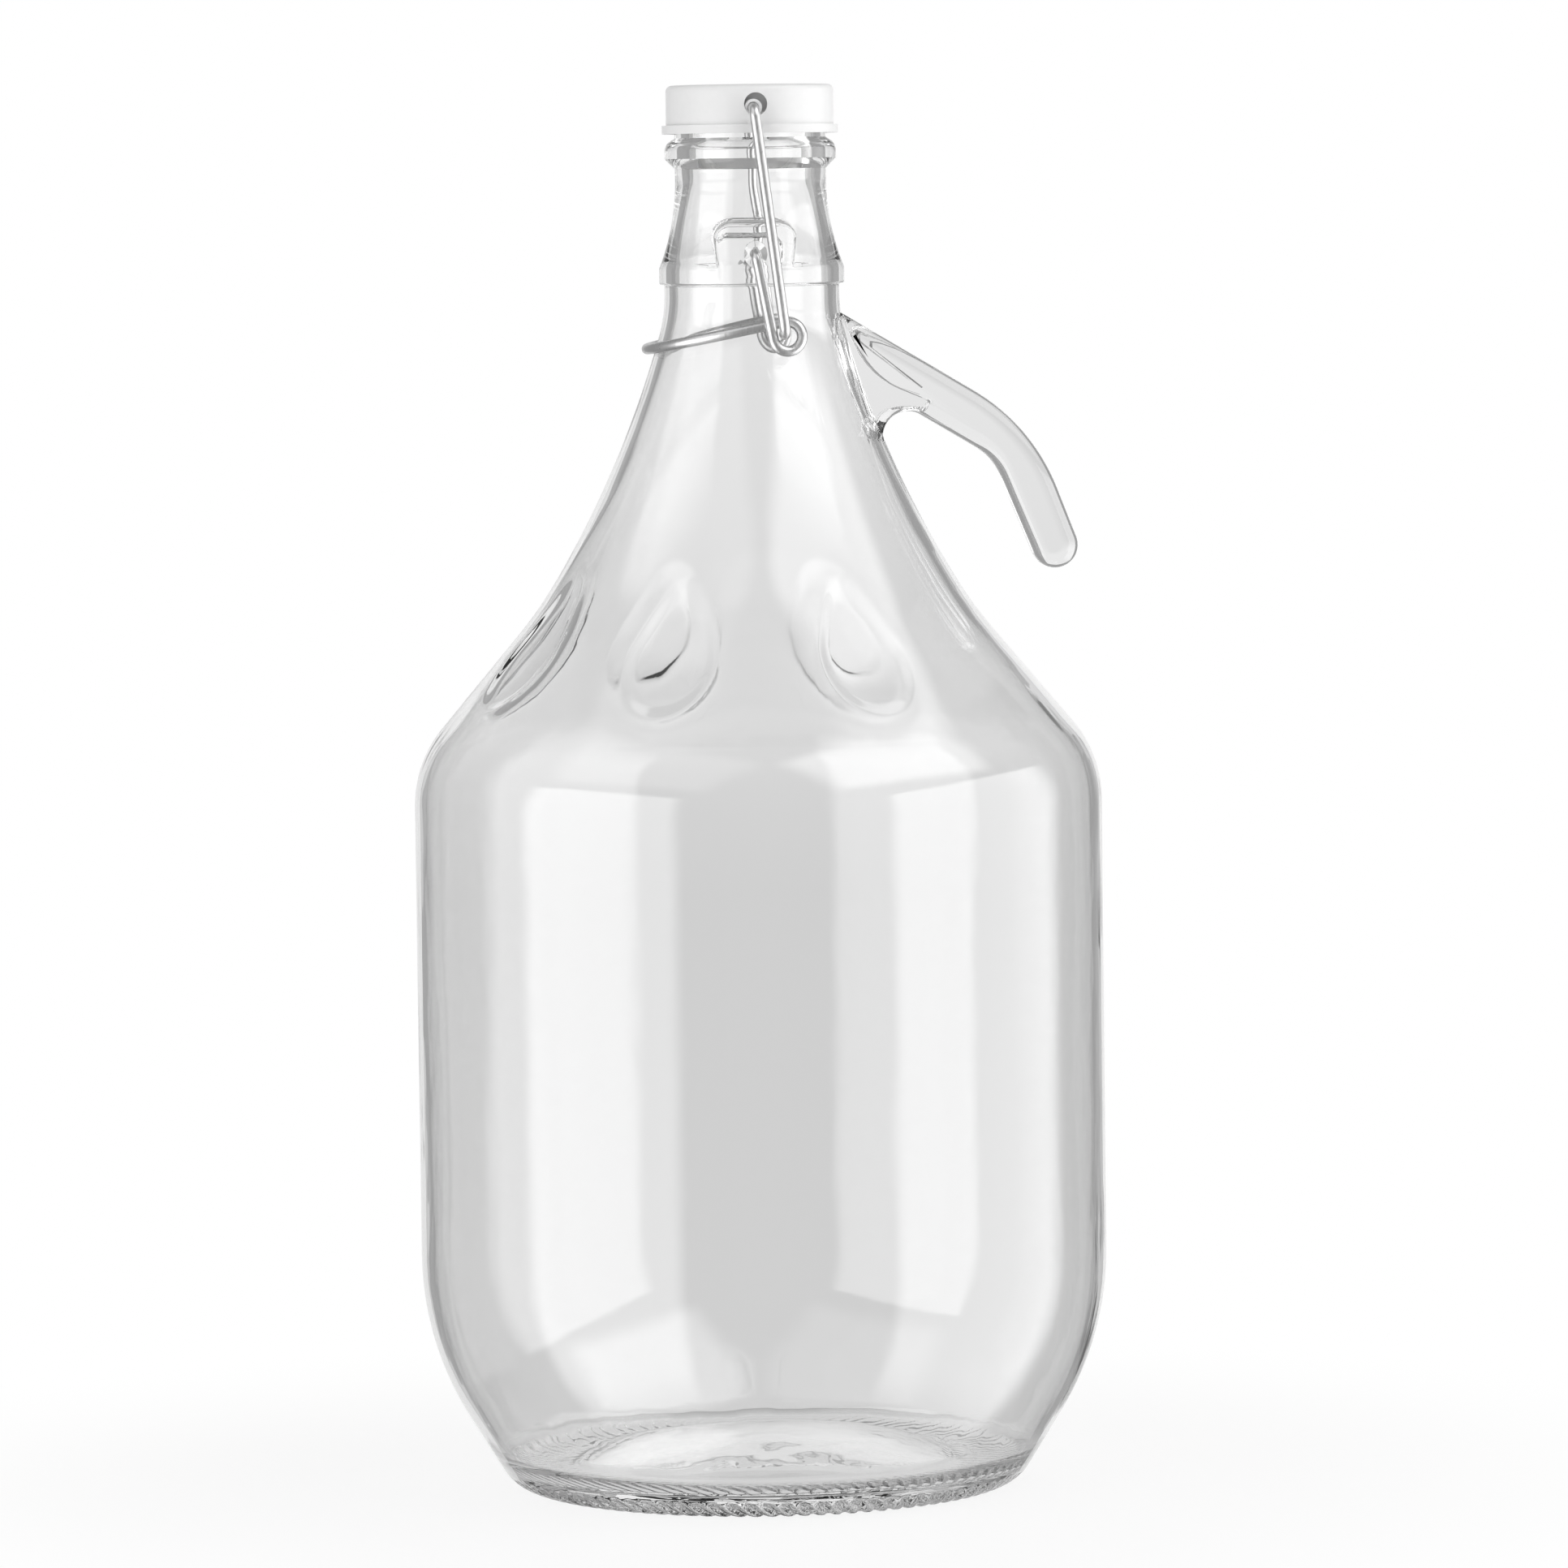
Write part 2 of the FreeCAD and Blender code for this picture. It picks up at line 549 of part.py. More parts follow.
def lugs(body):
    """Two arched lugs on the band, cut to a round face, each with its pivot hole."""
    half = value("Sizes.lug_width / 2")
    corner = value("Sizes.lug_round")
    low = value(BAND_BOTTOM)
    high = value(LUG_TOP)
    sketch = new_sketch(body, "lug_outline")
    pen = Pen(sketch, -half, low, 0.0)
    pen.line(2 * half, ties=[
        ("horizontal", None),
        ("start_x", "-Sizes.lug_width / 2"),
        ("end_x", "Sizes.lug_width / 2"),
        ("end_y", BAND_BOTTOM),
    ])
    pen.line(high - corner - low, turn=90, ties=[("vertical", None)])
    pen.arc(corner, 90, ties=[("radius", "Sizes.lug_round")])
    pen.line(2 * (half - corner), smooth=True, ties=[("horizontal", None), ("end_y", LUG_TOP)])
    pen.arc(corner, 90, ties=[("radius", "Sizes.lug_round")])
    pen.line(high - corner - low, smooth=True, ties=[("vertical", None)])
    sketch.addConstraint(Sketcher.Constraint("Coincident", *pen.last, *pen.first))
    pad = body.newObject("PartDesign::Pad", "lug_pad")
    pad.Profile = sketch
    pad.Midplane = True
    pad.setExpression("Length", f"2 * ({LUG_FACE} + Sizes.overrun)")
    doc.recompute()

    trim_sketch = new_sketch(body, "lug_face_outline")
    overrun = value("Sizes.overrun")
    pen = Pen(trim_sketch, value(LUG_FACE), low - overrun, 0.0)
    pen.line(half, ties=[
        ("horizontal", None),
        ("start_x", LUG_FACE),
        ("start_y", BAND_BOTTOM + " - Sizes.overrun"),
        ("length", "Sizes.lug_width / 2"),
    ])
    pen.line(high - low + 2 * overrun, turn=90, ties=[("vertical", None)])
    pen.line(half, turn=90, ties=[
        ("horizontal", None),
        ("end_y", LUG_TOP + " + Sizes.overrun"),
    ])
    pen.close([("vertical", None)])
    trim = body.newObject("PartDesign::Groove", "lug_face")
    trim.Profile = trim_sketch
    trim.ReferenceAxis = (trim_sketch, ["V_Axis"])
    trim.Angle = 360
    doc.recompute()

    for name, side in SIDES:
        hole = body.newObject("PartDesign::SubtractiveCylinder", "pivot_hole_" + name)
        hole.setExpression("Radius", HOLE_RADIUS)
        hole.setExpression("Height", "Sizes.pivot_depth + Sizes.overrun")
        place(hole, "0", f"{side} * ({LUG_FACE} + Sizes.overrun)", PIVOT_HEIGHT, inward(side))
        mouth = body.newObject("PartDesign::SubtractiveCone", "pivot_mouth_" + name)
        mouth.setExpression("Radius1", "Sizes.pivot_mouth / 2")
        mouth.setExpression("Radius2", HOLE_RADIUS)
        mouth.setExpression("Height", "Sizes.pivot_mouth_depth")
        place(mouth, "0", f"{side} * {LUG_FACE}", PIVOT_HEIGHT, inward(side))
        doc.recompute()


def build_glass_blank():
    """The solid outside of the glass, without its handle."""
    body = new_body("glass_blank")
    revolve(body, "glass_outside", draw_outside)
    dimples(body, "0")
    lugs(body)
    return body


def build_cavity():
    """The space inside the glass, which the dimples push in as well."""
    body = new_body("glass_cavity")
    revolve(body, "cavity", draw_cavity)
    dimples(body, "Sizes.glass_wall")
    return body


def draw_handle(sketch):
    """Side view of the hook: upper edge, bend, tip, inner edge and crotch."""
    neck = value("Sizes.neck_diameter / 2")
    lip = value("Sizes.lip_height")
    slope = value("Sizes.handle_slope")
    drop = value("Sizes.handle_drop")
    inner_drop = value("Sizes.handle_inner_drop")
    reach = value("Sizes.handle_reach")
    tip_y = lip - value("Sizes.handle_tip_below_lip")
    root_y = lip - value("Sizes.handle_root_below_lip")
    bend = value("Sizes.handle_bend")
    root_x = value(HANDLE_ROOT)

    def meeting(x1, y1, fall1, x2, y2, fall2):
        """Distance along a falling line from its start to where it meets another line."""
        a, b = math.radians(fall1), math.radians(fall2)
        return ((x2 - x1) * math.sin(b) + (y2 - y1) * math.cos(b)) / math.sin(b - a)

    setback = bend * math.tan(math.radians(drop - slope) / 2)
    upper = meeting(root_x, root_y, slope, reach, tip_y, drop)
    corner_x = root_x + upper * math.cos(math.radians(slope))
    lower = (reach - corner_x) / math.cos(math.radians(drop))
    pen = Pen(sketch, root_x, root_y, -slope)
    pen.line(upper - setback, ties=[
        ("start_x", HANDLE_ROOT),
        ("start_y", "Sizes.lip_height - Sizes.handle_root_below_lip"),
        ("heading", "-Sizes.handle_slope"),
    ])
    pen.arc(bend, slope - drop, ties=[("radius", "Sizes.handle_bend")])
    pen.line(lower - setback, smooth=True, ties=[
        ("heading", "-Sizes.handle_drop"),
        ("end_x", "Sizes.handle_reach"),
        ("end_y", "Sizes.lip_height - Sizes.handle_tip_below_lip"),
    ])
    pen.arc(value("Sizes.handle_tip"), -180 + drop - inner_drop,
            ties=[("radius", "Sizes.handle_tip")])
    inner_bend = value("Sizes.handle_inner_bend")
    inner_setback = inner_bend * math.tan(math.radians(inner_drop - slope) / 2)
    crotch = value("Sizes.crotch_round")
    crotch_x = neck + value("Sizes.crotch_out")
    crotch_y = lip - value("Sizes.crotch_below_lip")
    touch_x = crotch_x + crotch + crotch * math.sin(math.radians(slope))
    touch_y = crotch_y + crotch * math.cos(math.radians(slope))
    across = meeting(touch_x, touch_y, slope, pen.x, pen.y, inner_drop)
    inner_x = touch_x + across * math.cos(math.radians(slope))
    hang = (pen.x - inner_x) / math.cos(math.radians(inner_drop))
    pen.line(hang - inner_setback, smooth=True,
             ties=[("heading", "180 - Sizes.handle_inner_drop")])
    pen.arc(inner_bend, inner_drop - slope, ties=[("radius", "Sizes.handle_inner_bend")])
    pen.line(across - inner_setback, smooth=True,
             ties=[("heading", "180 - Sizes.handle_slope")])
    pen.arc(crotch, 90 + slope, ties=[("radius", "Sizes.crotch_round")])
    pen.line(value("Sizes.crotch_run"), smooth=True, ties=[
        ("vertical", None),
        ("start_x", "Sizes.neck_diameter / 2 + Sizes.crotch_out"),
        ("start_y", "Sizes.lip_height - Sizes.crotch_below_lip"),
        ("length", "Sizes.crotch_run"),
    ])
    pen.line(crotch_x - root_x, turn=-90, ties=[("horizontal", None), ("end_x", HANDLE_ROOT)])
    pen.close()


def draw_root_pocket(sketch):
    """Outline of the hollow between the two legs of the handle's root."""
    top = "Sizes.lip_height - Sizes.pocket_below_lip"
    pen = Pen(sketch, value(HANDLE_ROOT), value(top), 0.0)

    def run(size, **how):
        """A straight piece as long as a named size."""
        pen.line(value(size), ties=[("length", size)], **how)

    def bend(radius, turn, side):
        """A rounding with a named radius and turn, to the left (1) or right (-1)."""
        pen.arc(value(radius), side * value(turn), ties=[("radius", radius), ("span", turn)])

    pen.line(value("Sizes.pocket_top"), ties=[
        ("horizontal", None),
        ("start_x", HANDLE_ROOT),
        ("start_y", top),
        ("length", "Sizes.pocket_top"),
    ])
    lean = value("Sizes.pocket_lean")
    pen.line(value("Sizes.pocket_side"), turn=-lean, ties=[
        ("heading", "-Sizes.pocket_lean"),
        ("length", "Sizes.pocket_side"),
    ])
    bend("Sizes.pocket_bow", "Sizes.pocket_bow_turn", 1)
    run("Sizes.pocket_leg", smooth=True)
    bend("Sizes.pocket_tip", "Sizes.pocket_tip_turn", -1)
    run("Sizes.pocket_leg", smooth=True)
    bend("Sizes.pocket_heel", "Sizes.pocket_heel_turn", 1)
    run("Sizes.pocket_foot", smooth=True)
    pen.line(pen.x - value(HANDLE_ROOT), turn=180 - pen.heading, ties=[
        ("horizontal", None),
        ("end_x", HANDLE_ROOT),
    ])
    pen.close()


def build_handle():
    """The solid hook, rounded along its edges, with a hollow in each side of its root."""
    body = new_body("glass_handle")
    sketch = new_sketch(body, "handle_outline")
    draw_handle(sketch)
    pad = body.newObject("PartDesign::Pad", "handle_hook")
    pad.Profile = sketch
    pad.Midplane = True
    pad.setExpression("Length", "Sizes.handle_width")
    doc.recompute()

    half = value("Sizes.handle_width / 2")
    root = value("Sizes.neck_diameter / 2")
    names = []
    for number, edge in enumerate(pad.Shape.Edges, start=1):
        box = edge.BoundBox
        flat = abs(abs(box.YMin) - half) < 0.01 and box.YLength < 0.01
        if flat and box.XMax > root + 0.1 and not is_root_edge(edge):
            names.append(f"Edge{number}")
    rounding = body.newObject("PartDesign::Fillet", "handle_rounding")
    rounding.Base = (pad, names)
    rounding.setExpression("Radius", "Sizes.handle_edge")
    doc.recompute()

    pocket_sketch = new_sketch(body, "root_pocket_outline")
    pocket_sketch.setExpression("AttachmentOffset.Base.z",
                                "Sizes.handle_width / 2 - Sizes.pocket_depth")
    doc.recompute()
    draw_root_pocket(pocket_sketch)
    pocket = body.newObject("PartDesign::Pocket", "root_pocket")
    pocket.Profile = pocket_sketch
    pocket.Type = "ThroughAll"
    pocket.Reversed = True
    doc.recompute()
    mirror = body.newObject("PartDesign::Mirrored", "root_pockets")
    mirror.Originals = [pocket]
    mirror.MirrorPlane = (origin_plane(body, "XZ_Plane"), [""])
    body.Tip = mirror
    doc.recompute()
    return body


def is_root_edge(edge):
    """True for the edges that end inside the neck, which stay sharp."""
    crotch = value("Sizes.lip_height - Sizes.crotch_below_lip")
    box = edge.BoundBox
    return box.ZMax < crotch + 0.01 and box.XMax < value("Sizes.handle_reach") / 2


def build_bottle():
    """Blank and handle in one piece of glass, hollowed by the cavity."""
    blank = build_glass_blank()
    handle = build_handle()
    cavity = build_cavity()
    glass = doc.addObject("Part::MultiFuse", "glass_solid")
    glass.Shapes = [blank, handle]
    bottle = doc.addObject("Part::Cut", "bottle")
    bottle.Base = glass
    bottle.Tool = cavity
    bottle.Label = "bottle"
    doc.recompute()
    return bottle


def bent_path(corners):
    """Straight runs joined by tangent arcs. Each corner is (point, bend radius)."""
    edges = []
    position = corners[0][0]
    for index in range(1, len(corners) - 1):
        point, radius = corners[index]
        before = (point - corners[index - 1][0]).normalize()
        after = (corners[index + 1][0] - point).normalize()
        turn = before.getAngle(after)
        setback = radius * math.tan(turn / 2)
        start = point - before * setback
        end = point + after * setback
        to_centre = (after - before).normalize()
        middle = point + to_centre * (radius / math.cos(turn / 2) - radius)
        if (start - position).Length > 1e-6:
            edges.append(Part.LineSegment(position, start).toShape())
        edges.append(Part.Arc(start, middle, end).toShape())
        position = end
    edges.append(Part.LineSegment(position, corners[-1][0]).toShape())
    return Part.Wire(edges)


def wire_piece(name, corners):
    """A round wire bent along a path, as a solid of its own."""
    path = bent_path(corners)
    start = corners[0][0]
    heading = corners[1][0] - start
    ring = Part.Wire(Part.Circle(start, heading, value(WIRE_RADIUS)).toShape())
    piece = doc.addObject("Part::Feature", name)
    piece.Label = name
    piece.Shape = path.makePipeShell([ring], True, False)
    return piece


def mirrored_corners(half):
    """Add the mirror image in the plane of the handle, back to front, to half a path."""
    other = [(Vector(point.x, -point.y, point.z), radius) for point, radius in reversed(half)]
    return half + other


def lever_plan():
    """Distances of the lever wire from the middle plane: in its leg, loop and eye entry."""
    wire = value("Sizes.wire_diameter")
    leg = value(f"{LUG_FACE} + Sizes.leg_play + {WIRE_RADIUS}")
    loop = value(f"{BAND_SIDE} + Sizes.loop_play + {WIRE_RADIUS}")
    return leg, loop, loop + wire + value("Sizes.eye_spread")


def build_lever():
    """Lever: pivot ends, legs, an eye on each side and the finger loop round the neck."""
    pivot_z = value(PIVOT_HEIGHT)
    bend = value(WIRE_RADIUS + " + Sizes.pivot_bend")
    eye_radius = value("Sizes.wire_diameter + Sizes.eye_play")
    eye_x = value("Sizes.eye_out")
    eye_z = pivot_z - value("Sizes.eye_drop")
    leg_y, loop_y, eye_y = lever_plan()
    end_y = value(LUG_FACE + " - Sizes.pivot_depth + Sizes.pivot_play")

    # the leg touches the eye's circle on the side away from the handle
    away = math.hypot(eye_x, pivot_z - eye_z)
    leg_heading = math.atan2(eye_z - pivot_z, eye_x) - math.asin(eye_radius / away)
    loop_heading = math.pi + math.radians(value("Sizes.loop_slope"))
    start_angle = leg_heading - math.pi / 2
    turn = loop_heading - leg_heading
    step = turn / EYE_CORNERS
    corner_radius = eye_radius / math.cos(step / 2)

    half = [
        (Vector(0, -end_y, pivot_z), 0),
        (Vector(0, -leg_y, pivot_z), bend),
    ]
    for index in range(EYE_CORNERS):
        angle = start_angle + (index + 0.5) * step
        depth = eye_y + (loop_y - eye_y) * (index + 0.5) / EYE_CORNERS
        corner = Vector(eye_x + corner_radius * math.cos(angle), -depth,
                        eye_z + corner_radius * math.sin(angle))
        half.append((corner, eye_radius))

    # the loop lies in a plane that falls away from the handle
    leave = start_angle + turn
    leave_x = eye_x + eye_radius * math.cos(leave)
    leave_z = eye_z + eye_radius * math.sin(leave)
    fall = math.tan(math.radians(value("Sizes.loop_slope")))
    middle_x = loop_y - value(NECK_SIDE + " + Sizes.loop_out")
    spread = math.pi / 2 / LOOP_CORNERS
    ring = loop_y / math.cos(spread / 2)
    for index in range(LOOP_CORNERS):
        angle = (index + 0.5) * spread
        x = middle_x - ring * math.sin(angle)
        y = ring * math.cos(angle)
        half.append((Vector(x, -y, leave_z + (x - leave_x) * fall), loop_y))
    return wire_piece("lever", mirrored_corners(half))


def build_bail():
    """Bail: two hooks through the lever's eyes, two legs and the cross pin in the cap."""
    bend = value(WIRE_RADIUS + " + Sizes.bail_bend")
    hook_x = value("Sizes.eye_out - Sizes.hook_back")
    hook_z = value(PIVOT_HEIGHT + " - Sizes.eye_drop + Sizes.hook_rise")
    hook_y = lever_plan()[2] + value("Sizes.wire_diameter + Sizes.wire_gap")
    end_y = value(NECK_SIDE + " + Sizes.hook_play")
    shoulder_y = value(f"{FLANGE_SIDE} + Sizes.bail_play + {WIRE_RADIUS}")
    half = [
        (Vector(hook_x, -end_y, hook_z), 0),
        (Vector(hook_x, -hook_y, hook_z), bend),
        (Vector(0, -shoulder_y, value(PIN_HEIGHT)), bend),
    ]
    return wire_piece("bail", mirrored_corners(half))


def draw_cap(sketch):
    """Half section of the cap: flange, side, top, and the plate over the gasket."""
    low = "Sizes.lip_height - Sizes.cap_overlap"
    top = low + " + Sizes.cap_height"
    ceiling = "Sizes.lip_height + Sizes.gasket_thickness"
    plate = ceiling + " + Sizes.cap_ceiling"
    chamber = top + " - Sizes.cap_top"
    over_flange = low + " + Sizes.cap_flange_height"
    bore_x = value(CAP_BORE)
    pen = Pen(sketch, 0.0, value(ceiling), 0.0)
    pen.line(bore_x, ties=[
        ("horizontal", None),
        ("start_on_axis", None),
        ("start_y", ceiling),
        ("end_x", CAP_BORE),
    ])
    pen.line(value(f"{ceiling} - ({low})"), turn=-90, ties=[("vertical", None), ("end_y", low)])
    pen.line(value(FLANGE_SIDE) - bore_x, turn=90, ties=[("horizontal", None), ("end_x", FLANGE_SIDE)])
    pen.line(value("Sizes.cap_flange_height"), turn=90, ties=[
        ("vertical", None),
        ("end_y", over_flange),
    ])
    pen.line(value("Sizes.cap_flange_proud"), turn=90, ties=[("horizontal", None), ("end_x", CAP_SIDE)])
    rounding = value("Sizes.cap_round")
    pen.line(value(f"{top} - ({over_flange})") - rounding, turn=-90, ties=[("vertical", None)])
    pen.arc(rounding, 90, ties=[("radius", "Sizes.cap_round")])
    pen.line(pen.x, smooth=True, ties=[
        ("horizontal", None),
        ("end_on_axis", None),
        ("end_y", top),
    ])
    pen.line(value("Sizes.cap_top"), turn=90, ties=[("vertical", None), ("end_y", chamber)])
    pen.line(bore_x, turn=90, ties=[("horizontal", None), ("end_x", CAP_BORE)])
    pen.line(value(f"{chamber} - ({plate})"), turn=-90, ties=[("vertical", None), ("end_y", plate)])
    pen.line(bore_x, turn=-90, ties=[("horizontal", None), ("end_on_axis", None)])
    pen.close()


def build_cap():
    """Cap: hollow shell with a round window in each side and a tube for the bail's pin."""
    body = new_body("cap")
    revolve(body, "cap_shell", draw_cap)
    tube = body.newObject("PartDesign::AdditiveCylinder", "pin_tube")
    tube.setExpression("Radius", TUBE_RADIUS)
    tube.setExpression("Height", f"2 * {TUBE_END}")
    place(tube, "0", f"-{TUBE_END}", PIN_HEIGHT, inward(-1))
    doc.recompute()
    for name, side in SIDES:
        window = body.newObject("PartDesign::SubtractiveCylinder", "window_" + name)
        window.setExpression("Radius", "Sizes.window_diameter / 2")
        window.setExpression("Height", "Sizes.overrun + Sizes.cap_wall + Sizes.tube_play / 2")
        place(window, "Sizes.window_shift", f"{side} * ({CAP_SIDE} + Sizes.overrun)",
              PIN_HEIGHT + " + Sizes.window_rise", inward(side))
        doc.recompute()
    bore = body.newObject("PartDesign::SubtractiveCylinder", "pin_bore")
    bore.setExpression("Radius", HOLE_RADIUS)
    bore.setExpression("Height", f"2 * {CAP_SIDE}")
    place(bore, "0", f"-{CAP_SIDE}", PIN_HEIGHT, inward(-1))
    doc.recompute()
    return body


def build_gasket():
    """Flat sealing ring between the lip and the cap."""
    disc = doc.addObject("Part::Cylinder", "gasket_disc")
    disc.setExpression("Radius", f"{LIP_SIDE} + Sizes.gasket_proud")
    disc.setExpression("Height", "Sizes.gasket_thickness")
    disc.setExpression("Placement.Base.z", "Sizes.lip_height")
    hole = doc.addObject("Part::Cylinder", "gasket_hole")
    hole.setExpression("Radius", f"{MOUTH_SIDE} - Sizes.gasket_inside")
    hole.setExpression("Height", "Sizes.gasket_thickness")
    hole.setExpression("Placement.Base.z", "Sizes.lip_height")
    ring = doc.addObject("Part::Cut", "gasket")
    ring.Base = disc
    ring.Tool = hole
    ring.Label = "gasket"
    doc.recompute()
    return ring


def check_document():
    """Stop if any object failed to recompute."""
    for item in doc.Objects:
        failed = [state for state in ("Invalid", "Error") if state in item.State]
        if failed:
            raise RuntimeError(f"{item.Label} failed: {', '.join(failed)}")


def export(pieces):
    """Check every piece and write it to its own file."""
    os.makedirs("parts", exist_ok=True)
    for piece in pieces:
        shape = piece.Shape
        if shape.isNull() or not shape.isValid() or len(shape.Solids) != 1:
            raise RuntimeError(f"{piece.Label} is not one valid solid")
    for piece in pieces:
        piece.Shape.exportStep(f"parts/{piece.Label}.step")
        print(f"{piece.Label}: {piece.Shape.Volume / 1000:.2f} cm3")


fill_sheet()
pieces = [build_bottle(), build_lever(), build_bail(), build_cap(), build_gasket()]
doc.recompute()
check_document()
export(pieces)
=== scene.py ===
"""Looks of the swing-top glass bottle: clear glass, drawn steel wire and a white cap.

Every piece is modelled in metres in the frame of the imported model: +Z up along the bottle's
axis, the standing ring on Z = 0, the handle towards +X.
"""
import math

import bmesh
import bpy
from bpy.props import FloatProperty, FloatVectorProperty, IntProperty, PointerProperty
from bpy.types import Operator, Panel, PropertyGroup
from mathutils import Matrix, Vector, noise


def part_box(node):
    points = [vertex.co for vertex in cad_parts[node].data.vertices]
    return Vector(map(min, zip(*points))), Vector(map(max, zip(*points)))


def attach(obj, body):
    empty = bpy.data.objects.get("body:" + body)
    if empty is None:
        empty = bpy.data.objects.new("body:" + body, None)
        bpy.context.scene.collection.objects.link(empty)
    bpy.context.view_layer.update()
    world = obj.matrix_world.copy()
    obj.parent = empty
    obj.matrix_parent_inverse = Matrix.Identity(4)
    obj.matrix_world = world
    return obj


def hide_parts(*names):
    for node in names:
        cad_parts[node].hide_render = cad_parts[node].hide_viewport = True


bl_info = {
    "name": "Swing-top glass bottle",
    "version": (1, 0, 0),
    "blender": (4, 5, 0),
    "location": "View3D > Sidebar > Bottle",
    "description": "Models the clear glass, the wire closure and the cap of a five litre bottle",
    "category": "Mesh",
}

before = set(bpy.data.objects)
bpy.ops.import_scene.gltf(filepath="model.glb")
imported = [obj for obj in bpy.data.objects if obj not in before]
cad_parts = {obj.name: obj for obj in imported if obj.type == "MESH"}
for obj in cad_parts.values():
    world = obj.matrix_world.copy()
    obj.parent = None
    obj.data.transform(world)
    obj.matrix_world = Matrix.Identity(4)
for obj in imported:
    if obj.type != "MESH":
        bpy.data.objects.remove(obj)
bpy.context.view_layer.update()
MM = 0.001
WELD = 1e-6
ROUND_STEPS = 48
LIP_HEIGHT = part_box("bottle")[1].z


def length(name, description, millimetres):
    """A size that the user may change, in millimetres here and in scene units there."""
    return FloatProperty(name=name, description=description, default=millimetres * MM,
                         min=0.0, precision=5, unit="LENGTH")


def turning(name, description, degrees):
    """An angle that the user may change."""
    return FloatProperty(name=name, description=description, default=math.radians(degrees),
                         subtype="ANGLE")


def level(name, description, value):
    """A brightness that the user may change, where 1 is white."""
    return FloatProperty(name=name, description=description, default=value, min=0.0)


def colour(name, description, value):
    """A colour that the user may change."""
    return FloatVectorProperty(name=name, description=description, default=value, size=3,
                               min=0.0, max=1.0, subtype="COLOR")


class GlassSizes(PropertyGroup):
    """Sizes of the turned glass, from the standing ring up to the lip."""

    body_diameter: length("Body diameter", "Outside of the cylindrical body", 180.0)
    wall: length("Wall", "Wall of body, shoulder and neck", 2.9)
    wall_wave: length("Wall wave", "Unevenness of the wall on its inside", 0.12)
    punt_height: length("Punt height", "Rise of the pushed-up base", 9.0)
    ring_width: length("Ring width", "Flat of the standing ring", 4.0)
    floor_thickness: length("Floor thickness", "Glass over the middle of the base", 5.5)
    floor_height: length("Floor height", "Inside floor beside the heel", 7.5)
    floor_land: length("Floor land", "Flat of the inside floor round its dome", 11.7)
    heel_round: length("Heel rounding", "Outer rounding between ring and taper", 11.0)
    heel_inner: length("Inner heel rounding", "Inner rounding between floor and taper", 10.0)
    foot_taper: turning("Foot taper", "Lean of the straight taper over the heel", 31.5)
    bowl_round: length("Bowl rounding", "Rounding from the taper into the body", 80.0)
    bowl_top: length("Bowl top", "Height where the straight body starts", 61.5)
    shoulder_round: length("Shoulder rounding", "Rounding from the body into the cone", 31.0)
    cone_lean: turning("Cone lean", "Lean of the cone from the axis", 40.0)
    flare_round: length("Flare rounding", "First hollow rounding over the cone", 100.0)
    flare_turn: turning("Flare turn", "Turn of the first hollow rounding", 8.6)
    sweep_round: length("Sweep rounding", "Long hollow rounding up to the neck", 269.0)
    sweep_turn: turning("Sweep turn", "Turn of the long hollow rounding", 15.3)
    collar_round: length("Collar rounding", "Last hollow rounding into the neck", 35.6)
    collar_length: length("Collar length", "Straight neck under the band", 3.0)
    neck_diameter: length("Neck diameter", "Straight neck under the band", 45.7)
    band_proud: length("Band", "Band that carries the lugs, out from the neck", 1.3)
    band_height: length("Band height", "Straight side of the band", 4.2)
    band_soft: length("Band softness", "Rounding of the band's lower edge", 0.45)
    band_below_lip: length("Band drop", "Top of the band's side below the lip", 37.3)
    waist_step: length("Waist", "Narrowest neck, in from the neck's side", 3.15)
    waist_land: length("Waist land", "Straight side of the waist", 2.7)
    bead_step: length("Bead", "Bead under the mouth, in from the neck's side", 0.5)
    bead_below_lip: length("Bead drop", "Top of the bead's side below the lip", 6.9)
    bead_land: length("Bead land", "Straight side of the bead", 2.0)
    bead_round: length("Bead rounding", "Rounding of the bead's upper side", 3.2)
    bead_turn: turning("Bead turn", "Turn of that rounding", 60.0)
    lip_step: length("Lip", "Outside of the lip, in from the neck's side", 3.15)
    lip_round: length("Lip rounding", "Outer rounding of the lip", 1.2)
    lip_wall: length("Lip wall", "Wall of the lip round the mouth", 3.8)
    mouth_round: length("Mouth rounding", "Inner rounding of the mouth", 1.5)
    segments: IntProperty(name="Segments", description="Faces round the outside", default=192)
    bore_segments: IntProperty(name="Bore segments", description="Faces round the inside",
                               default=144)


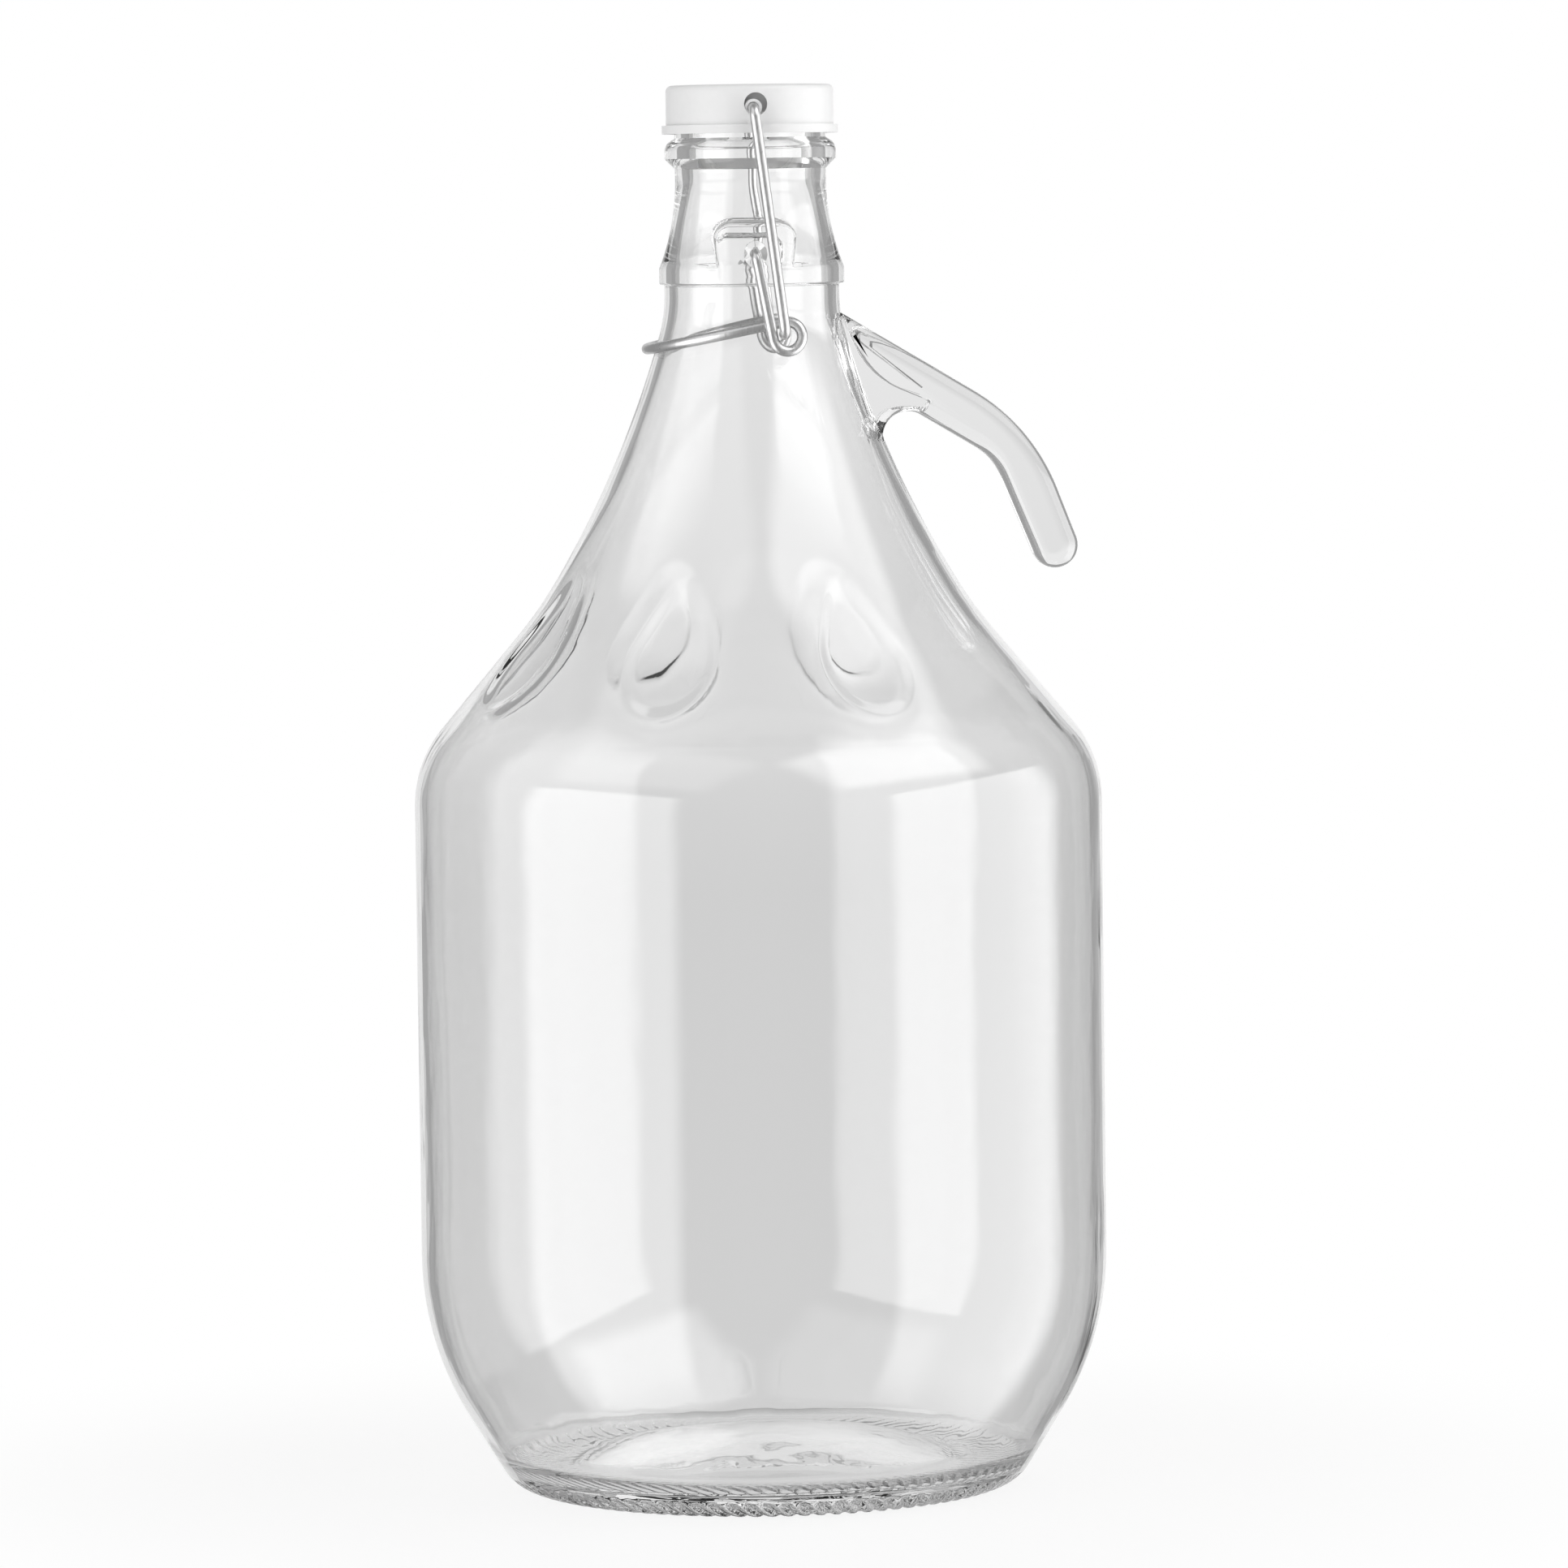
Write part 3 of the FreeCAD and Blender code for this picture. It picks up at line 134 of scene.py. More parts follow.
class ReliefSizes(PropertyGroup):
    """Sizes of the dimples, the lugs and the knurled standing ring."""

    dimple_count: IntProperty(name="Dimples", description="Dimples round the shoulder",
                              default=6)
    dimple_pitch: turning("Dimple pitch", "Turn from one dimple to the next", 45.0)
    dimple_ball: length("Dimple ball", "Radius of the ball that hollows a dimple", 95.0)
    dimple_out: length("Dimple reach", "Ball centre outside the neck's side", 114.5)
    dimple_below_lip: length("Dimple drop", "Ball centre below the lip", 76.9)
    lug_proud: length("Lug", "Outer face of the lugs, out from the band's side", -0.03)
    lug_width: length("Lug width", "Width of a lug", 20.0)
    lug_round: length("Lug rounding", "Rounding of a lug's upper corners", 4.5)
    lug_soft: length("Lug softness", "Rounding of the lugs' outer rims", 1.1)
    lug_over_pivot: length("Lug top", "Top of a lug above the pivot", 8.2)
    pivot_rise: length("Pivot rise", "Pivot above the band's lower edge", 7.8)
    pivot_hole: length("Pivot hole", "Diameter of a pivot hole", 2.96)
    pivot_depth: length("Pivot depth", "Depth of a pivot hole", 3.2)
    pivot_mouth: length("Pivot mouth", "Countersink of a pivot hole", 6.6)
    pivot_mouth_depth: length("Mouth depth", "Depth of the countersink", 1.2)
    knurl_count: IntProperty(name="Knurls", description="Bars round the standing ring",
                             default=92)
    knurl_depth: length("Knurl depth", "Depth of the grooves between the bars", 0.85)
    knurl_height: length("Knurl height", "How far the bars reach up the heel", 4.4)


class HandleSizes(PropertyGroup):
    """Sizes of the hooked glass handle."""

    width: length("Width", "Handle across the plane of its hook", 13.0)
    edge: length("Edge", "Rounding of the long edges", 3.6)
    root_below_lip: length("Root drop", "Start of the upper edge below the lip", 47.4)
    slope: turning("Slope", "Fall of the upper part", 31.0)
    bend: length("Bend", "Outer radius of the bend", 52.0)
    drop: turning("Drop", "Fall of the hanging part", 69.0)
    reach: length("Reach", "Outer edge of the hanging part from the axis", 84.0)
    tip_below_lip: length("Tip drop", "Start of the tip's rounding below the lip", 108.6)
    tip: length("Tip", "Radius of the tip", 6.0)
    inner_bend: length("Inner bend", "Inner radius of the bend", 15.0)
    inner_drop: turning("Inner drop", "Fall of the inner edge of the hanging part", 67.5)
    crotch_round: length("Crotch", "Rounding where handle and cone part", 6.5)
    crotch_out: length("Crotch reach", "Inner side of the crotch from the neck's side", 10.8)
    crotch_below_lip: length("Crotch drop", "Middle of the crotch below the lip", 81.8)
    crotch_run: length("Crotch run", "Straight run under the crotch", 3.0)
    root_inset: length("Root inset", "Outline inside the neck's side", 3.0)
    pocket_rim: length("Pocket rim", "Rounding of the hollow's rim", 1.1)
    pocket_depth: length("Pocket depth", "Hollow in each side of the root", 3.4)
    pocket_below_lip: length("Pocket drop", "Top of the hollow below the lip", 50.5)


class StageSettings(PropertyGroup):
    """Camera, lamps and backdrop."""

    camera_lens: FloatProperty(name="Lens", description="Focal length in millimetres",
                               default=197.5, min=1.0)
    camera_distance: length("Distance", "Camera from the bottle's axis", 2250.0)
    camera_height: length("Height", "Camera above the standing ring", 337.5)
    camera_azimuth: turning("Azimuth", "Camera round the axis, towards the loop", -2.6)
    camera_tilt: turning("Tilt", "Fall of the view", 3.895)
    camera_pan: turning("Pan", "Turn of the view to the right of the axis", 0.172)
    camera_roll: turning("Roll", "Lean of the view to the side", -0.72)
    table_radius: length("Table", "Radius of the round table top", 420.0)
    softbox_top: length("Softbox top", "Top of the softboxes above the table", 900.0)
    softbox_level: level("Softbox level", "Brightness of the two side softboxes", 1.9)
    top_level: level("Top level", "Brightness of the upper right softbox", 2.0)
    backdrop_level: level("Backdrop level", "Foot of the backdrop, through the glass", 0.69)
    backdrop_top: level("Backdrop top", "Rest of the backdrop, through the glass", 0.86)
    room_level: level("Room level", "Brightness of the room around", 0.36)
    dark_level: level("Dark level", "Brightness of the room, through the glass", 0.34)


class Looks(PropertyGroup):
    """Colours of the finishes."""

    glass: colour("Glass", "Clear glass", (0.99, 0.99, 0.99))
    steel: colour("Steel", "Drawn steel of the lever and the bail", (0.7, 0.7, 0.7))
    cap: colour("Cap", "Satin white of the cap and its tube", (0.8, 0.8, 0.8))
    seal: colour("Seal", "Pale rubber of the ring", (0.78, 0.78, 0.77))


def settings(group):
    """One of the groups of sizes and looks, as the scene holds it."""
    return getattr(bpy.context.scene, group)


# ---------------------------------------------------------------- outlines


class Outline:
    """A pen that draws an outline in a plane with straight runs and tangent roundings.

    u is the distance from the axis, v the height. A positive turn is to the left, and
    spacing is the widest step between two points.
    """

    def __init__(self, u, v, heading):
        self.u = u
        self.v = v
        self.heading = heading
        self.runs = [[Vector((u, v))]]

    def line(self, run, spacing=1.0, turn=0.0):
        """Draw a straight run, after a turn."""
        self.heading += turn
        parts = max(1, math.ceil(run / spacing - 1e-6))
        way = Vector((math.cos(self.heading), math.sin(self.heading)))
        start = Vector((self.u, self.v))
        self.runs.append([start + way * run * part / parts for part in range(1, parts + 1)])
        self.u, self.v = self.runs[-1][-1]

    def arc(self, radius, turn, spacing=1.0, corner=0.0):
        """Draw a rounding, after a corner."""
        self.heading += corner
        side = math.copysign(math.pi / 2, turn)
        to_centre = self.heading + side
        centre = Vector((self.u, self.v)) + radius * Vector((math.cos(to_centre),
                                                              math.sin(to_centre)))
        widest_turn = math.radians(9)
        steps = max(radius * abs(turn) / spacing, abs(turn) / widest_turn)
        parts = max(1, math.ceil(steps - 1e-6))
        entry = self.heading - side
        run = []
        for part in range(1, parts + 1):
            angle = entry + turn * part / parts
            run.append(centre + radius * Vector((math.cos(angle), math.sin(angle))))
        self.runs.append(run)
        self.heading += turn
        self.u, self.v = run[-1]

    def points(self):
        return [point for run in self.runs for point in run]


class Heights:
    """Heights above the standing ring that several outlines share."""

    def __init__(self):
        sizes = settings("bottle_glass")
        relief = settings("bottle_relief")
        self.band_top = LIP_HEIGHT - sizes.band_below_lip
        self.band_bottom = self.band_top - sizes.band_height
        self.neck_start = self.band_bottom - sizes.collar_length
        self.pivot = self.band_bottom + relief.pivot_rise
        self.lug_top = self.pivot + relief.lug_over_pivot


def bowl_start(sizes, inset):
    """Where the taper over the heel meets the bowl."""
    bowl = sizes.bowl_round - inset
    side = sizes.body_diameter / 2 - inset
    taper = sizes.foot_taper
    return side - bowl * (1 - math.cos(taper)), sizes.bowl_top - bowl * math.sin(taper)


def heel_start(sizes, inset, radius, floor):
    """Distance from the axis where a flat floor runs into the heel's rounding."""
    taper = sizes.foot_taper
    bowl_u, bowl_v = bowl_start(sizes, inset)
    rise = bowl_v - floor - radius * (1 - math.sin(taper))
    return bowl_u - rise * math.tan(taper) - radius * math.cos(taper)


def draw_side(pen, sizes, inset, fine):
    """Taper, bowl, straight side, shoulder, cone and neck, set in by a wall."""
    heights = Heights()
    lean = sizes.cone_lean
    last_turn = lean - sizes.flare_turn - sizes.sweep_turn
    flare = sizes.flare_round + inset
    sweep = sizes.sweep_round + inset
    collar = sizes.collar_round + inset
    shoulder = sizes.shoulder_round - inset
    side = sizes.body_diameter / 2 - inset
    neck = sizes.neck_diameter / 2 - inset
    after_flare = lean - sizes.flare_turn
    inwards = (flare * (math.cos(after_flare) - math.cos(lean))
               + sweep * (math.cos(last_turn) - math.cos(after_flare))
               + collar * (1 - math.cos(last_turn)))
    upwards = (flare * (math.sin(lean) - math.sin(after_flare))
               + sweep * (math.sin(after_flare) - math.sin(last_turn))
               + collar * math.sin(last_turn))
    cone = (side - neck - shoulder * (1 - math.cos(lean)) - inwards) / math.sin(lean)
    shoulder_start = (heights.neck_start - upwards - cone * math.cos(lean)
                      - shoulder * math.sin(lean))
    bowl_u, bowl_v = bowl_start(sizes, inset)
    pen.line(math.hypot(bowl_u - pen.u, bowl_v - pen.v), 5 * MM)
    pen.arc(sizes.bowl_round - inset, sizes.foot_taper, 4 * MM)
    pen.line(shoulder_start - pen.v, 10 * MM)
    pen.arc(shoulder, lean, 2 * MM)
    pen.line(cone, fine)
    pen.arc(flare, -sizes.flare_turn, fine)
    pen.arc(sweep, -sizes.sweep_turn, fine)
    pen.arc(collar, -last_turn, fine)


def outside_outline(sizes):
    """Outside of the glass, from the middle of its base to the middle of its mouth."""
    heights = Heights()
    neck = sizes.neck_diameter / 2
    band = neck + sizes.band_proud
    waist = neck - sizes.waist_step
    bead = neck - sizes.bead_step
    lip = neck - sizes.lip_step
    ring = heel_start(sizes, 0.0, sizes.heel_round, 0.0) - sizes.ring_width
    dome = (ring ** 2 + sizes.punt_height ** 2) / (2 * sizes.punt_height)
    pen = Outline(0.0, sizes.punt_height, 0.0)
    pen.arc(dome, -math.asin(ring / dome), 5 * MM)
    pen.line(sizes.ring_width, 1 * MM, turn=-pen.heading)
    heel_turn = math.pi / 2 - sizes.foot_taper
    pen.arc(sizes.heel_round, heel_turn, 0.7 * MM)
    draw_side(pen, sizes, 0.0, 2 * MM)
    soft = sizes.band_soft
    pen.line(heights.band_bottom - soft - pen.v, 1 * MM)
    pen.arc(soft, -math.pi / 2, 0.2 * MM)
    pen.line(band - soft - pen.u, 0.5 * MM)
    pen.arc(soft, math.pi / 2, 0.2 * MM)
    pen.line(sizes.band_height - soft, 1 * MM)
    bead_low = LIP_HEIGHT - sizes.bead_below_lip - sizes.bead_land
    rise = bead_low - (bead - waist) - sizes.waist_land - pen.v
    step = band - waist
    waist_round = (rise ** 2 + step ** 2) / (2 * step)
    waist_turn = math.asin(rise / waist_round)
    pen.arc(waist_round, -waist_turn, 1.2 * MM, corner=waist_turn)
    pen.line(sizes.waist_land, 1 * MM)
    pen.line((bead - waist) * math.sqrt(2), 0.6 * MM, turn=-math.pi / 4)
    pen.line(sizes.bead_land, 0.7 * MM, turn=math.pi / 4)
    pen.arc(sizes.bead_round, sizes.bead_turn, 0.5 * MM)
    pen.line((lip - pen.u) / math.cos(pen.heading), 0.6 * MM)
    pen.line(LIP_HEIGHT - sizes.lip_round - pen.v, 1 * MM, turn=-sizes.bead_turn)
    pen.arc(sizes.lip_round, math.pi / 2, 0.3 * MM)
    pen.line(pen.u, pen.u)
    return pen


def inside_outline(sizes):
    """Space inside the glass, from the middle of its floor to over the mouth."""
    heights = Heights()
    wall = sizes.wall
    rise = sizes.punt_height + sizes.floor_thickness - sizes.floor_height
    foot = heel_start(sizes, wall, sizes.heel_inner, sizes.floor_height) - sizes.floor_land
    dome = (foot ** 2 + rise ** 2) / (2 * rise)
    pen = Outline(0.0, sizes.floor_height + rise, 0.0)
    pen.arc(dome, -math.asin(foot / dome), 4 * MM)
    pen.line(sizes.floor_land, 2.5 * MM, turn=-pen.heading)
    pen.arc(sizes.heel_inner, math.pi / 2 - sizes.foot_taper, 1.5 * MM)
    draw_side(pen, sizes, wall, 2.6 * MM)
    pen.line(heights.band_top - pen.v, 1.5 * MM)
    mouth = sizes.neck_diameter / 2 - sizes.lip_step - sizes.lip_wall
    bore_start = LIP_HEIGHT - 2 * sizes.bead_below_lip
    lean = math.atan2(pen.u - mouth, bore_start - pen.v)
    pen.line((bore_start - pen.v) / math.cos(lean), 2 * MM, turn=lean)
    pen.line(LIP_HEIGHT - sizes.mouth_round - pen.v, 2 * MM, turn=-lean)
    pen.arc(sizes.mouth_round, -math.pi / 2, 0.3 * MM)
    pen.line(2 * sizes.mouth_round, 1.0, turn=math.pi / 2)
    pen.line(pen.u, 1.0, turn=math.pi / 2)
    return pen


# ---------------------------------------------------------------- meshes


def turned(points, segments, ring=False):
    """Spin a half outline, or a ring's section, round the Z axis into a closed solid."""
    mesh = bmesh.new()
    verts = [mesh.verts.new((u, 0.0, v)) for u, v in points]
    ends = verts[1:] + (verts[:1] if ring else [])
    edges = [mesh.edges.new(pair) for pair in zip(verts, ends)]
    bmesh.ops.spin(mesh, geom=verts + edges, cent=(0, 0, 0), axis=(0, 0, 1),
                   angle=2 * math.pi, steps=segments, use_merge=True)
    bmesh.ops.remove_doubles(mesh, verts=mesh.verts, dist=WELD)
    bmesh.ops.recalc_face_normals(mesh, faces=mesh.faces)
    return mesh


def lay_across(mesh, side, height):
    """Turn a piece from the Z axis to the front (-1) or the back (1), at a height."""
    bmesh.ops.rotate(mesh, verts=mesh.verts, cent=(0, 0, 0),
                     matrix=Matrix.Rotation(-side * math.pi / 2, 3, "X"))
    bmesh.ops.translate(mesh, verts=mesh.verts, vec=(0, 0, height))


def plate(points, half):
    """A flat outline in the XZ plane, drawn out to both sides of it."""
    mesh = bmesh.new()
    verts = [mesh.verts.new((point.x, -half, point.y)) for point in points]
    face = mesh.faces.new(verts)
    grown = bmesh.ops.extrude_face_region(mesh, geom=[face])
    moved = [item for item in grown["geom"] if isinstance(item, bmesh.types.BMVert)]
    bmesh.ops.translate(mesh, verts=moved, vec=(0, 2 * half, 0))
    bmesh.ops.recalc_face_normals(mesh, faces=mesh.faces)
    return mesh


def to_object(mesh, name, smooth_angle=None):
    """Hand a bmesh over to a new object of the scene."""
    data = bpy.data.meshes.new(name)
    mesh.to_mesh(data)
    mesh.free()
    if smooth_angle is not None:
        data.shade_smooth()
        data.set_sharp_from_angle(angle=smooth_angle)
    piece = bpy.data.objects.new(name, data)
    bpy.context.scene.collection.objects.link(piece)
    return piece


def combine(base, tool, operation):
    """Join or cut a piece with another, which is used up."""
    step = base.modifiers.new(operation.lower(), "BOOLEAN")
    step.operation = operation
    step.solver = "EXACT"
    step.object = tool
    graph = bpy.context.evaluated_depsgraph_get()
    result = bpy.data.meshes.new_from_object(base.evaluated_get(graph))
    base.modifiers.clear()
    old = base.data
    base.data = result
    bpy.data.meshes.remove(old)
    used = tool.data
    bpy.data.objects.remove(tool)
    bpy.data.meshes.remove(used)
    if not result.polygons:
        raise RuntimeError(f"{base.name}: nothing is left of it")


def dimple_centres():
    """Centres of the balls that hollow the dimples, on the side away from the handle."""
    sizes = settings("bottle_glass")
    relief = settings("bottle_relief")
    out = sizes.neck_diameter / 2 + relief.dimple_out
    height = LIP_HEIGHT - relief.dimple_below_lip
    first = math.pi - (relief.dimple_count - 1) * relief.dimple_pitch / 2
    turns = [first + index * relief.dimple_pitch for index in range(relief.dimple_count)]
    return [Vector((out * math.cos(turn), out * math.sin(turn), height)) for turn in turns]


def radius_table(outline, sizes):
    """Radius of a turned outline by height, from the body up to the neck."""
    points = [point for point in outline.points()
              if point.x > sizes.neck_diameter / 4 and point.y > sizes.bowl_top]
    return sorted((point.y, point.x) for point in points)


def radius_at(table, height):
    """Radius of a turned surface at a height."""
    low, high = 0, len(table) - 1
    while high - low > 1:
        middle = (low + high) // 2
        if table[middle][0] <= height:
            low = middle
        else:
            high = middle
    (v0, u0), (v1, u1) = table[low], table[high]
    return u0 + (u1 - u0) * (height - v0) / max(v1 - v0, 1e-9)


def press_dimples(mesh, table, grow, soft, rim, step, cuts):
    """Refine a turned surface round the dimples' rims, then push the dimples in.

    table holds the surface's radius by height and grow is its depth under the outside. The
    rims are soft over a radius, drop by a step across their width, and get cuts in each edge.
    """
    ball = settings("bottle_relief").dimple_ball + grow
    centres = dimple_centres()
    low = centres[0].z - ball
    high = centres[0].z

    def depth(point):
        return max(ball - (point - centre).length for centre in centres)

    def at_rim(face):
        middle = face.calc_center_median()
        return low < middle.z < high and -rim / 2 < depth(middle) < rim

    edges = [edge for edge in mesh.edges if any(at_rim(face) for face in edge.link_faces)]
    bmesh.ops.subdivide_edges(mesh, edges=edges, cuts=cuts, use_grid_fill=True)
    side = [vert for vert in mesh.verts if low < vert.co.z < high]
    for vert in side:
        stretch = radius_at(table, vert.co.z) / math.hypot(vert.co.x, vert.co.y)
        vert.co.x *= stretch
        vert.co.y *= stretch
    reach = 8 * soft
    push_at_reach = soft / 32
    for vert in side:
        for centre in centres:
            arm = vert.co - centre
            inside = ball - arm.length
            if inside > -reach:
                push = (inside + math.sqrt(inside ** 2 + soft ** 2)) / 2
                share = min(max(inside / rim, 0.0), 1.0)
                drop = step * share * share * (3 - 2 * share)
                vert.co += arm.normalized() * (max(push - push_at_reach, 0.0) + drop)


def wave_bore(mesh):
    """Give the inside the slow, uneven thickness of moulded glass."""
    sizes = settings("bottle_glass")
    plain_floor = 20 * MM
    across, upright = 0.03, 0.055
    ripple_scale, ripple_share = 2.3, 0.4
    for vert in mesh.verts:
        point = vert.co
        if point.z > LIP_HEIGHT - sizes.band_below_lip or point.xy.length < plain_floor:
            continue
        place = Vector((point.x / across, point.y / across, point.z / upright))
        swell = noise.noise(place) + ripple_share * noise.noise(ripple_scale * place)
        vert.co += vert.normal * swell * sizes.wall_wave


def press_knurls(mesh):
    """Cut slanted grooves round the standing ring, between rope-like bars."""
    sizes = settings("bottle_glass")
    relief = settings("bottle_relief")
    ring = heel_start(sizes, 0.0, sizes.heel_round, 0.0) - sizes.ring_width
    top = relief.knurl_height
    rise_of_bar = 1.6 * MM
    slant_under = 0.6
    bar_fullness = 2.2
    run_in = 0.8 * MM
    lean_down = 0.8

    def in_zone(point, margin):
        flat = math.hypot(point.x, point.y)
        return point.z < top + margin and flat > ring - margin

    across = []
    for edge in mesh.edges:
        a, b = (vert.co for vert in edge.verts)
        on_ring = abs(a.z - b.z) < WELD / 10 and abs(a.xy.length - b.xy.length) < WELD
        if on_ring and in_zone(a, 0.5 * MM):
            across.append(edge)
    bmesh.ops.subdivide_edges(mesh, edges=across, cuts=2, use_grid_fill=True)
    for vert in mesh.verts:
        point = vert.co
        if not in_zone(point, 0.0):
            continue
        flat = point.xy.length
        turn = math.atan2(point.y, point.x)
        along = point.z + max(0.0, flat - ring) * slant_under
        wave = math.cos(relief.knurl_count * turn + along / rise_of_bar)
        groove = (0.5 - 0.5 * wave) ** bar_fullness
        rise = point.z / top
        fade = max(0.0, 1 - rise ** 4) * min(1.0, (flat - ring) / run_in)
        depth = relief.knurl_depth * groove * fade
        lean = Vector((point.x / flat, point.y / flat, -lean_down)).normalized()
        vert.co = point - lean * depth


# ---------------------------------------------------------------- shading


class Net:
    """The nodes of one material, lamp or world, with short ways to add to them."""

    def __init__(self, owner, shader):
        owner.use_nodes = True
        self.nodes = owner.node_tree.nodes
        self.links = owner.node_tree.links
        self.shader = self.nodes[shader]

    def put(self, socket, value, node=None):
        """Set an input of a node, or of the shader, to a value or to another's output."""
        target = (node or self.shader).inputs[socket]
        if isinstance(value, bpy.types.NodeSocket):
            self.links.new(value, target)
        else:
            target.default_value = value

    def math(self, operation, first, second):
        """Reckon with two values or outputs."""
        node = self.nodes.new("ShaderNodeMath")
        node.operation = operation
        self.put(0, first, node)
        self.put(1, second, node)
        return node.outputs[0]

    def remap(self, value, source, target=(0.0, 1.0), smooth=False):
        """Carry an output from one range over to another, and hold it at its ends."""
        node = self.nodes.new("ShaderNodeMapRange")
        if smooth:
            node.interpolation_type = "SMOOTHSTEP"
        self.put("Value", value, node)
        for socket, end in zip(("From Min", "From Max", "To Min", "To Max"), (*source, *target)):
            self.put(socket, end, node)
        return node.outputs["Result"]

    def place(self):
        """Position on the object."""
        return self.nodes.new("ShaderNodeTexCoord").outputs["Object"]

    def grain(self, scale, detail):
        """Noise with its number of grains to the metre along X, Y and Z."""
        stretch = self.nodes.new("ShaderNodeMapping")
        self.put("Vector", self.place(), stretch)
        self.put("Scale", scale, stretch)
        node = self.nodes.new("ShaderNodeTexNoise")
        self.put("Vector", stretch.outputs["Vector"], node)
        self.put("Scale", 1.0, node)
        self.put("Detail", detail, node)
        return node.outputs["Fac"]

    def bump(self, height, strength, distance):
        """Raise the shader's surface by an output."""
        node = self.nodes.new("ShaderNodeBump")
        self.put("Height", height, node)
        self.put("Strength", strength, node)
        self.put("Distance", distance, node)
        self.put("Normal", node.outputs["Normal"])

    def mix(self, share, first, second):
        """Blend two shaders."""
        node = self.nodes.new("ShaderNodeMixShader")
        for socket, value in enumerate((share, first, second)):
            self.put(socket, value, node)
        return node.outputs[0]


def new_material(name):
    """A new material and the net of its Principled shader."""
    material = bpy.data.materials.new(name)
    return material, Net(material, "Principled BSDF")


def grained_material(name, tint, metallic, roughness, darkest, grain, depth):
    """A finish whose tint, gloss and surface vary a little, as its making leaves them.

    roughness is the lowest and highest, darkest the share of the tint in the darkest grains,
    grain their number to the metre along X, Y and Z, and depth how far they stand out.
    """
    material, net = new_material(name)
    spread = (0.3, 0.7)
    grains = net.grain(grain, 3.0)
    tone = net.nodes.new("ShaderNodeValToRGB")
    for element, position, share in zip(tone.color_ramp.elements, spread, (darkest, 1.0)):
        element.position = position
        element.color = (*(share * part for part in tint), 1.0)
    net.put("Fac", grains, tone)
    net.put("Base Color", tone.outputs["Color"])
    net.put("Metallic", metallic)
    net.put("Roughness", net.remap(grains, spread, roughness))
    net.bump(grains, 0.3, depth)
    return material


# ---------------------------------------------------------------- glass


def raise_lugs(mesh):
    """Raise the two arched lugs out of the neck, over the band."""
    sizes = settings("bottle_glass")
    relief = settings("bottle_relief")
    heights = Heights()
    half = relief.lug_width / 2
    corner = relief.lug_round
    soft = relief.lug_soft
    face = sizes.neck_diameter / 2 + sizes.band_proud + relief.lug_proud
    low = heights.band_bottom + soft
    margin = 2 * MM
    blend = 0.25 * MM
    flank_fall = 4

    def in_zone(point):
        return low < point.z < heights.lug_top + margin and abs(point.x) < half + margin

    edges = [edge for edge in mesh.edges
             if any(in_zone(face.calc_center_median()) for face in edge.link_faces)]
    bmesh.ops.subdivide_edges(mesh, edges=edges, cuts=2, use_grid_fill=True)
    for vert in mesh.verts:
        point = vert.co
        if not in_zone(point):
            continue
        side = abs(point.x) - (half - corner)
        rise = point.z - (heights.lug_top - corner)
        beyond = (min(max(side, rise), 0.0) + math.hypot(max(side, 0.0), max(rise, 0.0))
                  - corner)
        if beyond > 0:
            drop = soft + flank_fall * beyond
        else:
            drop = soft - math.sqrt(soft ** 2 - max(beyond + soft, 0.0) ** 2)
        flat = point.xy.length
        step = face - drop - flat
        gain = (step + math.sqrt(step ** 2 + blend ** 2)) / 2
        vert.co.x *= 1 + gain / flat
        vert.co.y *= 1 + gain / flat


def pivot_cutter(side):
    """Pivot hole with its countersink, on the front (-1) or the back (1)."""
    sizes = settings("bottle_glass")
    relief = settings("bottle_relief")
    face = sizes.neck_diameter / 2 + sizes.band_proud + relief.lug_proud
    hole = relief.pivot_hole / 2
    mouth = relief.pivot_mouth / 2
    over = 1 * MM
    flare = (mouth - hole) / relief.pivot_mouth_depth
    bottom = face - relief.pivot_depth
    mesh = turned([(0.0, bottom), (hole, bottom), (hole, face - relief.pivot_mouth_depth),
                   (mouth + flare * over, face + over), (0.0, face + over)], ROUND_STEPS)
    lay_across(mesh, side, Heights().pivot)
    return to_object(mesh, "pivot_cutter")


def meeting(u1, v1, fall1, u2, v2, fall2):
    """Distance along a falling line from its start to where it meets another line."""
    return ((u2 - u1) * math.sin(fall2) + (v2 - v1) * math.cos(fall2)) / math.sin(fall2 - fall1)


